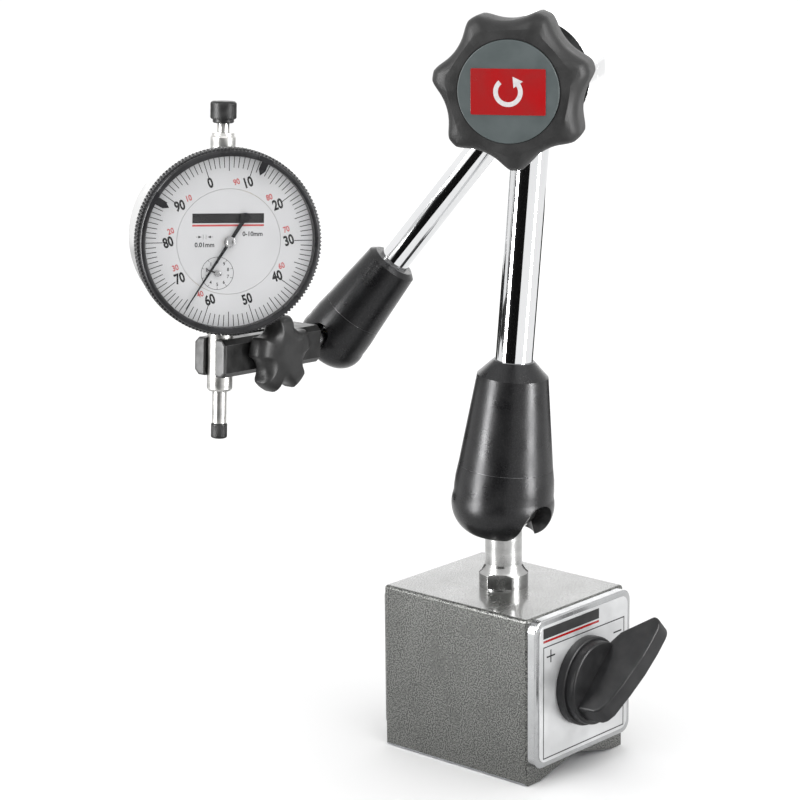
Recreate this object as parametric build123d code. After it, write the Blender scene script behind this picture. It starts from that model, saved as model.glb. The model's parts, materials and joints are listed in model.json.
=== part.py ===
from build123d import *
import os
from math import asin, atan2, cos, degrees, pi, radians, sin, sqrt

os.makedirs("parts", exist_ok=True)

# A dial indicator held by a jointed arm on a switchable magnetic base.
# Millimetres. The origin is the centre of the base's underside, +Z is up and
# the switch lever faces -Y. Arm pieces are drawn in a frame of their own, with
# the ball at the origin and +Z along the arm, and then placed.

# ---------------------------------------------------------------- driving sizes
RUN = 0.05            # radial clearance of a running fit
GAP = 0.3             # room between faces that pass each other

BASE_X, BASE_Y, BASE_Z = 50.0, 60.0, 55.0
FOOT_WIDTH = 5.5      # flat strip each side of the V groove
GROOVE_HEIGHT = 5.4   # height of the V groove at the middle
SPACER_WIDTH = 5.0    # non-magnetic bar between the two pole blocks
SWITCH_Z = 30.0       # height of the magnet rotor's axis
ROTOR_RADIUS = 14.5
ROTOR_LENGTH = 50.0
PLATE_THICK = 3.0     # front frame and rear cover
PLATE_BOTTOM = 5.5
PLATE_CORNER = 4.0
LABEL_THICK = 0.3
COLLAR_RADIUS, COLLAR_THICK = 14.5, 3.0
LEVER_RADIUS, LEVER_DISC = 13.5, 3.2
LEVER_ANGLE = 43.0    # lever above the +X direction, at rest
FIN_THICK, FIN_REACH, FIN_TAIL, FIN_DEPTH = 8.0, 26.0, 12.0, 12.5

KNOB_AZIMUTH = 61.2   # knob axis, turned from -Y towards -X
LOWER_BALL_Z = 85.0
LOWER_LEAN, LOWER_LENGTH = 4.4, 136.3
UPPER_LEAN, UPPER_LENGTH = 38.2, 112.7
LOWER_BALL, LOWER_NECK, LOWER_TUBE = 12.0, 6.0, 6.0      # radii
UPPER_BALL, UPPER_NECK, UPPER_TUBE = 7.5, 3.5, 5.0
TUBE_WALL = 1.5
LOWER_SLOT_TURN = 60.0 # the lower cup's slot, turned from the knob axis towards the right

# Stations along the knob axis, counted back from the knob's front disc.
LOWER_STATION, UPPER_STATION = 48.0, 63.0
KNOB_TOP, KNOB_HUB_END = 20.0, 32.0
HOUSING_START, HOUSING_SPLIT, HOUSING_END = 40.0, 56.0, 71.7
HOUSING_RADIUS = 18.0
KNOB_TIP, KNOB_VALLEY, KNOB_BITE, KNOB_LOBES = 24.3, 20.4, 16.0, 7
KNOB_TURN = 41.8       # one lobe's place, from the left side towards the bottom
BOLT_RADIUS, BOLT_PULL, ROD_TRAVEL = 4.0, 1.5, 0.35
WEDGE_SMALL, WEDGE_LARGE, WEDGE_HALF = 4.5, 6.5, 4.0
ROD_RADIUS = 3.0

CLAMP_AZIMUTH, CLAMP_RISE = 86.6, 3.4    # direction of the stem clamp
CLAMP_REACH = 56.2                       # ball centre to indicator stem
CLAMP_REAR, CLAMP_OVER = 13.5, 5.0
CLAMP_HALF_WIDTH, CLAMP_HALF_HEIGHT = 6.5, 6.0
SLIT_HALF, MOUTH_HALF = 1.5, 2.5
SCREW_AT, SCREW_RADIUS = 39.5, 2.5
CLAMP_KNOB_RADIUS, CLAMP_KNOB_VALLEY, CLAMP_KNOB_BITE = 12.4, 9.4, 5.4
CLAMP_KNOB_THICK, CLAMP_KNOB_LOBES, CLAMP_KNOB_TURN = 7.2, 5, 200.0

DIAL_AZIMUTH = 32.2                      # dial normal, turned from -Y towards -X
DIAL_ABOVE_JAWS = 37.2
STEM_RADIUS, STEM_BELOW_JAWS = 4.0, 10.9
SPINDLE_RADIUS, SPINDLE_TOP_RADIUS, STROKE = 2.25, 1.9, 10.0
CASE_RADIUS, CASE_WALL = 27.5, 2.0
BEZEL_RADIUS, BEZEL_INNER = 29.0, 26.4
BEZEL_FRONT, BEZEL_BACK, CASE_BACK = -13.5, -6.6, 8.0
DIAL_FRONT, DIAL_THICK, INNER_DIAL_RADIUS = -10.2, 0.45, 16.2
RACK_PITCH, PINION_TEETH, WHEEL_TEETH, CENTRE_TEETH = 0.625, 16, 100, 10
WHEEL_MODULE = 0.188
TOOTH_WIDTH = 0.2
LIMIT_ANGLES = (22.5, -60.7)             # limit markers, clockwise from the top


# ------------------------------------------------------------------ shape tools
def rod(radius, low, high):
    return Pos(0, 0, (low + high) / 2) * Cylinder(radius, high - low)


def taper(low_radius, high_radius, low, high):
    return Pos(0, 0, (low + high) / 2) * Cone(low_radius, high_radius, high - low)


def tube(outer, inner, low, high):
    return rod(outer, low, high) - rod(inner, low - 1, high + 1)


def block(x0, x1, y0, y1, z0, z1):
    middle = Pos((x0 + x1) / 2, (y0 + y1) / 2, (z0 + z1) / 2)
    return middle * Box(x1 - x0, y1 - y0, z1 - z0)


def lathe(*stations):
    outline = Polyline(*[(r, 0, z) for r, z in stations], close=True)
    return revolve(make_face(outline), Axis.Z)


def along_y(shape):
    """Turn a shape drawn up +Z so that its top faces -Y."""
    return Rot(90, 0, 0) * shape


def along_x(shape):
    """Turn a shape drawn up +Z so that its top faces +X."""
    return Rot(0, 90, 0) * shape


def star(tip, valley, bite, lobes, low, high, turn):
    """A lobed grip: a disc with round bites between its lobes."""
    reach = valley + bite
    grip = rod(tip, low, high)
    for i in range(lobes):
        angle = radians(turn + (i + 0.5) * 360 / lobes)
        grip -= Pos(reach * cos(angle), reach * sin(angle), 0) * rod(bite, low - 1, high + 1)
    return grip


def toothed(count, pitch_radius, addendum, dedendum, low, high, phase=0.0):
    """A small gear with straight narrow teeth and generous backlash."""
    wheel = rod(pitch_radius - dedendum, low, high)
    depth = addendum + dedendum + 0.1
    centre = pitch_radius + addendum - depth / 2
    teeth = []
    for i in range(count):
        tooth = Pos(centre, 0, (low + high) / 2) * Box(depth, TOOTH_WIDTH, high - low)
        teeth.append(Rot(0, 0, phase + i * 360 / count) * tooth)
    return wheel.fuse(*teeth)


pieces = {}


def keep(name, shape, frame=None):
    pieces[name] = frame.location * shape if frame else shape


# --------------------------------------------------------------- placing frames
UP = Vector(0, 0, 1)


def heading(azimuth):
    return Vector(-sin(radians(azimuth)), -cos(radians(azimuth)), 0)


def leaning(lean):
    return UP * cos(radians(lean)) - arm_left * sin(radians(lean))


knob_axis = heading(KNOB_AZIMUTH)
arm_left = knob_axis.cross(UP)
lower_ball = Vector(0, 0, LOWER_BALL_Z)
lower_frame = Plane(lower_ball, x_dir=knob_axis, z_dir=leaning(LOWER_LEAN))
hinge_point = lower_ball + leaning(LOWER_LEAN) * LOWER_LENGTH
upper_hinge = hinge_point - knob_axis * (UPPER_STATION - LOWER_STATION)
upper_ball = upper_hinge - leaning(UPPER_LEAN) * UPPER_LENGTH
upper_frame = Plane(upper_ball, x_dir=knob_axis, z_dir=leaning(UPPER_LEAN))
# Stations along the knob axis: z in this frame is minus the station.
knob_frame = Plane(hinge_point + knob_axis * LOWER_STATION, x_dir=arm_left, z_dir=knob_axis)

clamp_flat = heading(CLAMP_AZIMUTH)
clamp_axis = clamp_flat * cos(radians(CLAMP_RISE)) + UP * sin(radians(CLAMP_RISE))
stem_axis = UP * cos(radians(CLAMP_RISE)) - clamp_flat * sin(radians(CLAMP_RISE))
clamp_frame = Plane(upper_ball, x_dir=clamp_axis, z_dir=stem_axis)
jaw_centre = upper_ball + clamp_axis * CLAMP_REACH
dial_normal = heading(DIAL_AZIMUTH)
dial_normal = (dial_normal - stem_axis * dial_normal.dot(stem_axis)).normalized()
dial_frame = Plane(
    jaw_centre + stem_axis * DIAL_ABOVE_JAWS,
    x_dir=(dial_normal * -1).cross(stem_axis),
    z_dir=stem_axis,
)


# ------------------------------------------------------------------------- base
def pole_section(x0, x1):
    """The base's end outline between two X positions, with the V groove."""
    half, foot = BASE_X / 2, BASE_X / 2 - FOOT_WIDTH

    def groove(x):
        return GROOVE_HEIGHT * (1 - abs(x) / foot) if abs(x) < foot else 0.0

    xs = sorted({x0, x1, *[v for v in (-foot, 0.0, foot) if x0 < v < x1]})
    low = [(x, 0, groove(x)) for x in xs]
    outline = Polyline(*low, (x1, 0, BASE_Z), (x0, 0, BASE_Z), close=True)
    return extrude(make_face(outline), amount=BASE_Y / 2, dir=(0, 1, 0), both=True)


def base_bores():
    bore = along_y(rod(ROTOR_RADIUS + RUN, -ROTOR_LENGTH / 2 - 2.0, ROTOR_LENGTH / 2 + 2.0))
    through = along_y(rod(5.0 + RUN, -BASE_Y, BASE_Y))
    stud_hole = rod(4.0 + RUN, BASE_Z - 9.0, BASE_Z + 1)
    return Pos(0, 0, SWITCH_Z) * bore + Pos(0, 0, SWITCH_Z) * through + stud_hole


def plate_screw_spots():
    inset = 5.5
    spots = []
    for x in (-BASE_X / 2 + inset, BASE_X / 2 - inset):
        for z in (PLATE_BOTTOM + inset, BASE_Z - inset):
            spots.append((x, z))
    return spots


def plate_screws(face_y):
    """Four countersunk screws, their heads flush with a face towards -Y."""
    screws = []
    for x, z in plate_screw_spots():
        screw = rod(1.25, -9.0, -1.0) + taper(1.25, 2.5, -1.0, 0.0)
        screws.append(Pos(x, face_y, z) * along_y(screw))
    return Compound(children=screws)


def end_plate(y0, y1, hole):
    width = BASE_X / 2
    plate = block(-width, width, y0, y1, PLATE_BOTTOM, BASE_Z)
    plate = fillet(plate.edges().filter_by(Axis.Y), PLATE_CORNER)
    if hole:
        plate -= Pos(0, 0, SWITCH_Z) * along_y(rod(hole, -BASE_Y, BASE_Y))
    return plate


def base():
    half_spacer, half = SPACER_WIDTH / 2, BASE_X / 2
    front, rear = -BASE_Y / 2, BASE_Y / 2
    screws_front = plate_screws(front - PLATE_THICK)
    bores = base_bores()
    left = pole_section(-half, -half_spacer) - bores
    right = pole_section(half_spacer, half) - bores
    for screw in screws_front.children:
        left -= screw
        right -= screw
    keep("pole_block_left", left)
    keep("pole_block_right", right)
    keep("pole_spacer", pole_section(-half_spacer, half_spacer) - bores)
    frame = end_plate(front - PLATE_THICK, front, 5.0 + RUN)
    for screw in screws_front.children:
        frame -= screw
    keep("front_frame", frame)
    keep("rear_cover", end_plate(rear, rear + 1.0, 0.0))
    keep("front_frame_screws", screws_front)
    face = front - PLATE_THICK
    label = block(-22.8, 22.8, face - LABEL_THICK, face, PLATE_BOTTOM + 2.2, BASE_Z - 2.2)
    label = fillet(label.edges().filter_by(Axis.Y), PLATE_CORNER - 1)
    keep("front_label", label - Pos(0, 0, SWITCH_Z) * along_y(rod(5.0 + RUN, 0, BASE_Y)))


def switch():
    """The rotor, its magnet and the lever, about an axis along Y."""
    place = Pos(0, 0, SWITCH_Z)
    half = ROTOR_LENGTH / 2
    magnet = block(-12.5, 12.5, -half + 2, half - 2, -5.5, 5.5)
    shaft_front = -BASE_Y / 2 - PLATE_THICK - LABEL_THICK - COLLAR_THICK - LEVER_DISC
    shaft = along_y(rod(5.0, half - 8, -shaft_front - 0.5))
    rotor = along_y(rod(ROTOR_RADIUS, -half, half)) - magnet - shaft
    tilt = Rot(0, -LEVER_ANGLE, 0)
    keep("magnet_rotor", place * (tilt * rotor))
    keep("rotor_magnet", place * (tilt * (magnet - shaft)))
    keep("switch_shaft", place * (tilt * shaft))
    face = -BASE_Y / 2 - PLATE_THICK - LABEL_THICK
    collar = along_y(rod(COLLAR_RADIUS, -face + 0.05, -face + COLLAR_THICK))
    collar = chamfer(collar.edges().group_by(Axis.Y)[0], 0.6)
    keep("lever_collar", place * (tilt * (collar - shaft)))
    front = -face + COLLAR_THICK
    disc = along_y(rod(LEVER_RADIUS, front, front + LEVER_DISC))
    disc = chamfer(disc.edges().group_by(Axis.Y)[0], 0.8)
    fin = lever_fin(-(front + LEVER_DISC))
    keep("switch_lever", place * (tilt * (disc + fin - shaft)))


def lever_fin(face):
    """The tall blade across the disc; +X is towards its tip, -Y its depth."""
    tail = Line((-FIN_TAIL, face + 1), (-FIN_TAIL + 0.6, face - 6.0))
    heel = Line(tail @ 1, (-FIN_TAIL + 3.4, face - 8.6))
    bow = ThreePointArc(heel @ 1, (8.0, face - 12.0), (FIN_REACH - 3.0, face - FIN_DEPTH))
    nose = ThreePointArc(bow @ 1, (FIN_REACH - 0.7, face - FIN_DEPTH + 1.3), (FIN_REACH, face - 9.0))
    under = Line(nose @ 1, (LEVER_RADIUS + 4.0, face - 0.5))
    back = Line(under @ 1, (LEVER_RADIUS - 1.5, face + 1))
    shut = Line(back @ 1, tail @ 0)
    outline = make_face([tail, heel, bow, nose, under, back, shut])
    fin = extrude(outline, amount=FIN_THICK / 2, dir=(0, 0, 1), both=True)
    return fin


# ------------------------------------------------------------------ ball joints
def ball_cup(ball, outer, seam, lip_z, mouth, bottom, thread, slot_half, slot_top, slot_turn):
    """A screwed cup that holds a ball, open below, with a slot up one side."""
    inner = ball + 0.03
    lip = sqrt(inner ** 2 - lip_z ** 2)
    half_angle = asin(-lip_z / inner) / 2
    crown = Line((outer * 0.945, 0, seam), (outer, 0, seam * 0.45))
    wall = Line(crown @ 1, (outer, 0, seam * 0.1))
    bulge = ((outer + mouth) / 2 + outer * 0.13, 0, bottom * 0.58)
    round_end = ThreePointArc(wall @ 1, bulge, (mouth, 0, bottom))
    flare = Line(round_end @ 1, (lip, 0, lip_z))
    seat_middle = (inner * cos(half_angle), 0, -inner * sin(half_angle))
    seat = ThreePointArc(flare @ 1, seat_middle, (inner, 0, 0))
    bore = Polyline(seat @ 1, (inner + 0.2, 0, 0), (inner + 0.2, 0, seam - 4.2))
    socket = Polyline(bore @ 1, (thread, 0, seam - 4.2), (thread, 0, seam))
    shut = Line(socket @ 1, crown @ 0)
    outline = make_face([crown, wall, round_end, flare, seat, bore, socket, shut])
    cup = revolve(outline, Axis.Z)
    slot = block(0, outer + 1, -slot_half, slot_half, bottom - 1, slot_top)
    slot += Pos(0, 0, slot_top) * along_x(rod(slot_half, 0, outer + 1))
    return cup - Rot(0, 0, slot_turn) * slot


def sleeve(seam, seam_radius, shoulder, shoulder_radius, top, top_radius, thread, room, bore):
    """The tapered sleeve between a ball cup and its tube."""
    body = taper(seam_radius, shoulder_radius, seam, shoulder)
    body += taper(shoulder_radius, top_radius, shoulder, top)
    body += rod(thread, seam - 4.2, seam)
    return body - rod(room, seam - 5, seam + 7) - rod(bore, seam, top + 1)


def ball_seat(ball, radius, top):
    seat = rod(radius, ball * 0.72, top)
    return seat - Sphere(ball + RUN)


def push_rod(low, hinge_at):
    return rod(ROD_RADIUS, low, hinge_at - WEDGE_LARGE + 0.02)


def lower_arm():
    seam, shoulder, top = 10.2, 40.2, 45.2
    seat_top = seam + 6.0
    cup = ball_cup(LOWER_BALL, 16.2, seam, -7.45, 10.9, -12.0, 14.0, 6.9, -6.6, LOWER_SLOT_TURN)
    keep("lower_cup", cup, lower_frame)
    body = sleeve(seam, 15.3, shoulder, 11.45, top, 6.5, 14.0, 12.25, LOWER_TUBE + RUN)
    keep("lower_sleeve", body, lower_frame)
    keep("lower_ball_seat", ball_seat(LOWER_BALL, 11.9, seat_top), lower_frame)
    tube_low, tube_high = seam + 7.5, LOWER_LENGTH - 9.0
    keep("lower_tube", tube(LOWER_TUBE, LOWER_TUBE - TUBE_WALL, tube_low, tube_high), lower_frame)
    keep("lower_push_rod", push_rod(seat_top, LOWER_LENGTH), lower_frame)


def upper_arm():
    seam, shoulder, top = 10.3, 31.5, 33.0
    seat_top = seam + 5.0
    slot_turn = degrees(atan2(clamp_axis.dot(upper_frame.y_dir), clamp_axis.dot(knob_axis)))
    cup = ball_cup(UPPER_BALL, 11.0, seam, -4.8, 6.9, -7.6, 8.8, 3.8, 0, slot_turn)
    keep("upper_cup", cup, upper_frame)
    body = sleeve(seam, 10.4, shoulder, 8.7, top, 7.0, 8.8, 7.75, UPPER_TUBE)
    keep("upper_sleeve", body, upper_frame)
    keep("upper_ball_seat", ball_seat(UPPER_BALL, 7.4, seat_top), upper_frame)
    tube_low, tube_high = seam + 7.5, UPPER_LENGTH - 9.0
    keep("upper_tube", tube(UPPER_TUBE, UPPER_TUBE - TUBE_WALL, tube_low, tube_high), upper_frame)
    keep("upper_push_rod", push_rod(seat_top, UPPER_LENGTH), upper_frame)


def lower_stud():
    collar = 4.6
    stud = rod(8.0, BASE_Z, BASE_Z + collar)
    flats = block(-8, 8, -7, 7, BASE_Z, BASE_Z + collar)
    stud &= Rot(0, 0, -KNOB_AZIMUTH) * flats
    stud += taper(7.0, LOWER_NECK, BASE_Z + collar, BASE_Z + collar + 3.4)
    stud += rod(LOWER_NECK, BASE_Z + collar, LOWER_BALL_Z)
    stud += rod(4.0, BASE_Z - 8.5, BASE_Z)
    stud += Pos(0, 0, LOWER_BALL_Z) * Sphere(LOWER_BALL)
    keep("lower_ball_stud", stud)


def upper_stud():
    stud = Sphere(UPPER_BALL) + along_x(rod(UPPER_NECK, 0, CLAMP_REAR - 0.2))
    stud += along_x(rod(2.5, CLAMP_REAR - 0.5, CLAMP_REAR + 9.5))
    keep("upper_ball_stud", stud, clamp_frame)


# ---------------------------------------------------------------- central joint
def local_direction(frame, direction):
    return Vector(direction.dot(frame.x_dir), direction.dot(frame.y_dir), direction.dot(frame.z_dir))


def drum_with_socket(start, end, station, tube_radius, direction):
    drum = rod(HOUSING_RADIUS, -end, -start)
    drum = chamfer(drum.edges().filter_by(GeomType.CIRCLE), 0.8)
    drum -= rod(WEDGE_LARGE + 0.2, -end - 1, -start + 1)
    socket = rod(tube_radius, -HOUSING_RADIUS - 5, -9.0) + rod(ROD_RADIUS + RUN, -9.5, 0)
    seat = Plane((0, 0, -station), x_dir=(0, 0, 1), z_dir=local_direction(knob_frame, direction))
    return drum - seat.location * socket


def wedge(station):
    return taper(WEDGE_LARGE, WEDGE_SMALL, -station - WEDGE_HALF, -station + WEDGE_HALF)


def central_joint():
    lower = drum_with_socket(
        HOUSING_START, HOUSING_SPLIT - 0.15, LOWER_STATION, LOWER_TUBE, leaning(LOWER_LEAN)
    )
    upper = drum_with_socket(
        HOUSING_SPLIT, HOUSING_END, UPPER_STATION, UPPER_TUBE, leaning(UPPER_LEAN)
    )
    keep("lower_housing", lower, knob_frame)
    keep("upper_housing", upper, knob_frame)
    cap_end = HOUSING_END + 4.0
    bolt = rod(BOLT_RADIUS, -cap_end, -6.0) + wedge(LOWER_STATION) + wedge(UPPER_STATION)
    keep("clamp_bolt", bolt, knob_frame)
    cap = rod(13.0, -cap_end, -HOUSING_END - 0.1)
    cap = chamfer(cap.edges().group_by(Axis.Z)[0], 1.0) - rod(BOLT_RADIUS, -80, 0)
    keep("rear_cap", cap, knob_frame)
    washer = tube(11.5, WEDGE_LARGE + 0.2, -HOUSING_START, -KNOB_HUB_END - 0.1)
    keep("thrust_collar", washer, knob_frame)


def star_knob():
    grip = star(KNOB_TIP, KNOB_VALLEY, KNOB_BITE, KNOB_LOBES, -KNOB_TOP, -0.6, KNOB_TURN)
    grip = fillet(grip.edges().filter_by(Axis.Z), 3.0)
    grip = fillet(grip.faces().sort_by(Axis.Z)[-1].outer_wire().edges(), 2.2)
    grip += taper(12.5, 14.0, -KNOB_HUB_END, -KNOB_TOP + 0.01)
    insert = tube(8.0, BOLT_RADIUS + RUN, -KNOB_HUB_END, -8.0)
    insert += rod(9.5, -14.0, -11.0) - rod(7.0, -15.0, -10.0)
    recess = rod(15.3, -1.4, 1.0)
    bolt_room = rod(BOLT_RADIUS + 0.5, -9.0, -4.0)
    grip = grip - insert - recess - rod(8.0 - 0.01, -KNOB_HUB_END - 1, -8.0) - bolt_room
    keep("star_knob", grip, knob_frame)
    keep("knob_insert", insert, knob_frame)
    cap = rod(15.25, -1.4, -0.2)
    keep("knob_cap_disc", cap, knob_frame)
    badge = block(-11.2, 11.2, -6.8, 6.8, -0.2, 0.0)
    keep("knob_badge", fillet(badge.edges().filter_by(Axis.Z), 1.0), knob_frame)


# ------------------------------------------------------------------- stem clamp
def stem_clamp():
    front = CLAMP_REACH + CLAMP_OVER
    w, h = CLAMP_HALF_WIDTH, CLAMP_HALF_HEIGHT
    body = block(CLAMP_REAR, front, -w, w, -h, h)
    body = chamfer(body.edges().filter_by(Axis.X), 1.6)
    body = chamfer(body.faces().sort_by(Axis.X)[0].outer_wire().edges(), 1.8)
    slit_start = CLAMP_REAR + 13.0
    body -= block(slit_start, front + 1, -SLIT_HALF, SLIT_HALF, -h - 1, h + 1)
    body -= block(front - 2.4, front + 1, -MOUTH_HALF, MOUTH_HALF, -h - 1, h + 1)
    body -= Pos(CLAMP_REACH, 0, 0) * rod(STEM_RADIUS + 0.03, -h - 1, h + 1)
    body -= along_x(rod(2.5 + RUN, CLAMP_REAR - 1, CLAMP_REAR + 10.5))
    screw_hole = Pos(SCREW_AT, 0, 0) * along_y(rod(SCREW_RADIUS, -w - 1, w + 1))
    keep("stem_clamp", body - screw_hole, clamp_frame)
    out = w + CLAMP_KNOB_THICK
    screw = Rot(-90, 0, 0) * rod(SCREW_RADIUS, -w, out - 1.5)
    head = Rot(-90, 0, 0) * (Pos(0, 0, -w - 1.5) * extrude(RegularPolygon(4.4, 6), 1.5))
    keep("clamp_screw", Pos(SCREW_AT, 0, 0) * (screw + head), clamp_frame)
    low, high = w + 0.4, out + 0.4
    size = (CLAMP_KNOB_RADIUS, CLAMP_KNOB_VALLEY, CLAMP_KNOB_BITE, CLAMP_KNOB_LOBES)
    grip = star(*size, low, high, CLAMP_KNOB_TURN)
    grip = fillet(grip.edges().filter_by(Axis.Z), 1.8)
    grip = fillet(grip.faces().sort_by(Axis.Z)[-1].edges(), 1.2)
    grip -= rod(SCREW_RADIUS + RUN, w, out - 1.0)
    keep("clamp_knob", Pos(SCREW_AT, 0, 0) * (Rot(-90, 0, 0) * grip), clamp_frame)


# --------------------------------------------------------------- dial indicator
COUNTER_X = -(SPINDLE_RADIUS - 0.35) - RACK_PITCH * PINION_TEETH / (2 * pi)
CENTRE_DISTANCE = WHEEL_MODULE * (WHEEL_TEETH + CENTRE_TEETH) / 2
COUNTER_Z = -sqrt(CENTRE_DISTANCE ** 2 - COUNTER_X ** 2)
TAKE_UP_X = CENTRE_DISTANCE * cos(radians(-45))
TAKE_UP_Z = CENTRE_DISTANCE * sin(radians(-45))


def facing(radius, front, back):
    """A disc about the dial's axis, between two depths; the front has the lower Y."""
    return along_y(rod(radius, -back, -front))


def facing_ring(outer, inner, front, back):
    return facing(outer, front, back) - facing(inner, front - 1, back + 1)


def case():
    inner = CASE_RADIUS - CASE_WALL
    shell = facing_ring(CASE_RADIUS, inner, BEZEL_BACK + 0.1, CASE_BACK)
    shell += facing_ring(26.0, 24.5, -9.4, BEZEL_BACK + 1.1)
    bosses = []
    for i in range(4):
        angle = radians(45 + 90 * i)
        bosses.append(Pos(24.0 * cos(angle), 0, 24.0 * sin(angle)) * facing(2.2, 4.4, CASE_BACK))
    shell = (shell + Compound(children=bosses)) & facing(CASE_RADIUS, -12, CASE_BACK)
    screws = []
    for i in range(4):
        angle = radians(45 + 90 * i)
        screw = facing(0.8, 5.0, CASE_BACK + 1.0) + facing(1.6, CASE_BACK + 0.6, CASE_BACK + 1.4)
        screws.append(Pos(23.6 * cos(angle), 0, 23.6 * sin(angle)) * screw)
    back = facing(CASE_RADIUS, CASE_BACK, CASE_BACK + 1.4)
    lug = block(-2.5, 2.5, CASE_BACK + 1.3, CASE_BACK + 12.0, -7.5, 7.5)
    lug = fillet(lug.edges().filter_by(Axis.X).group_by(Axis.Y)[-1], 4.5)
    back = back + lug - Pos(0, CASE_BACK + 6.8, 0) * along_x(rod(3.25, -4, 4))
    for screw in screws:
        shell -= screw
        back -= screw
    shell -= rod(STEM_RADIUS, -40, 0)
    shell -= rod(3.2, 0, 40)
    keep("indicator_case", shell, dial_frame)
    keep("back_cover", back, dial_frame)
    keep("back_cover_screws", Compound(children=screws), dial_frame)


def stem_and_bush():
    low = -DIAL_ABOVE_JAWS - STEM_BELOW_JAWS
    stem = rod(STEM_RADIUS, low, -24.4) - rod(SPINDLE_RADIUS + RUN, low - 1, 0)
    stem = chamfer(stem.edges().group_by(Axis.Z)[0].sort_by(SortBy.RADIUS)[-1], 0.6)
    keep("stem", stem, dial_frame)
    bush = rod(3.2, 25.0, 28.0) + rod(3.9, CASE_RADIUS, 31.6) + rod(3.4, 31.6, 32.5)
    bush -= rod(SPINDLE_TOP_RADIUS + RUN, 0, 40)
    keep("upper_bush", bush, dial_frame)


def movement():
    plate = facing(CASE_RADIUS - CASE_WALL, -3.6, -2.7)
    plate &= block(-30, 30, -5, 0, -30, 2.4)
    rear = facing(CASE_RADIUS - CASE_WALL, 3.2, 4.2) & block(-30, 30, 0, 5, -30, -5.0)
    bridge_hole = Pos(COUNTER_X, 0, COUNTER_Z) * facing(0.5 + RUN, -5, 5)
    centre_hole = facing(0.4 + RUN, -5, 0)
    take_up_hole = Pos(TAKE_UP_X, 0, TAKE_UP_Z) * facing(0.4 + RUN, -5, 0)
    stem_room = block(-4.2, 4.2, -5, 5, -30, -24.3)
    plate = plate - bridge_hole - centre_hole - take_up_hole - stem_room
    for x, z in ((-18, -9), (18, -9), (-9, -20), (9, -20)):
        plate += Pos(x, 0, z) * facing(1.2, -2.8, 3.2)
    keep("movement_plate", plate, dial_frame)
    keep("rear_bridge", rear - bridge_hole - stem_room, dial_frame)
    support = facing(24.5, -9.4, -8.6)
    holes = facing(1.0, -12, 0) + Pos(COUNTER_X, 0, COUNTER_Z) * facing(0.8, -12, 0)
    pivot = Pos(TAKE_UP_X, 0, TAKE_UP_Z) * facing(0.4 + RUN, -9.0, 0)
    keep("dial_plate", support - holes - pivot, dial_frame)
    face = facing(INNER_DIAL_RADIUS, DIAL_FRONT, -9.4)
    keep("inner_dial", face - holes, dial_frame)


def bezel():
    ring = facing_ring(BEZEL_RADIUS, 26.06, BEZEL_FRONT, BEZEL_BACK)
    ring -= facing(BEZEL_INNER, BEZEL_FRONT - 1, DIAL_FRONT + DIAL_THICK)
    ring = chamfer(ring.edges().group_by(Axis.Y)[0].sort_by(SortBy.RADIUS)[-1], 0.9)
    keep("bezel", ring, dial_frame)
    scale = facing_ring(BEZEL_INNER, INNER_DIAL_RADIUS + 0.1, DIAL_FRONT, DIAL_FRONT + DIAL_THICK)
    keep("dial_ring", scale, dial_frame)
    keep("crystal", facing(BEZEL_INNER, -12.8, -11.6), dial_frame)
    for name, angle in zip(("limit_marker_high", "limit_marker_low"), LIMIT_ANGLES):
        clip = facing_ring(BEZEL_RADIUS - 0.9, 26.6, BEZEL_FRONT - 0.55, BEZEL_FRONT - 0.05)
        clip &= block(-2.4, 2.4, -20, 0, 20, 30)
        points = [(-1.1, -20, 27.2), (-1.1, -20, 24.0), (0, -20, 22.3), (1.1, -20, 24.0), (1.1, -20, 27.2)]
        blade = extrude(make_face(Polyline(*points, close=True)), amount=20, dir=(0, 1, 0))
        blade &= facing(30, BEZEL_FRONT - 0.55, BEZEL_FRONT - 0.05)
        keep(name, Rot(0, angle, 0) * (clip + blade), dial_frame)


def pointer(length, tail, width, depth, thick, hub):
    """A tapered hand pointing up, at a depth in front of the stem axis."""
    outline = Polyline(
        (-width / 2, 0, -tail), (width / 2, 0, -tail), (0.12, 0, length), (-0.12, 0, length), close=True
    )
    hand = extrude(make_face(outline), amount=thick, dir=(0, 1, 0))
    return Pos(0, depth, 0) * hand + facing(hub, depth, depth + thick)


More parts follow.
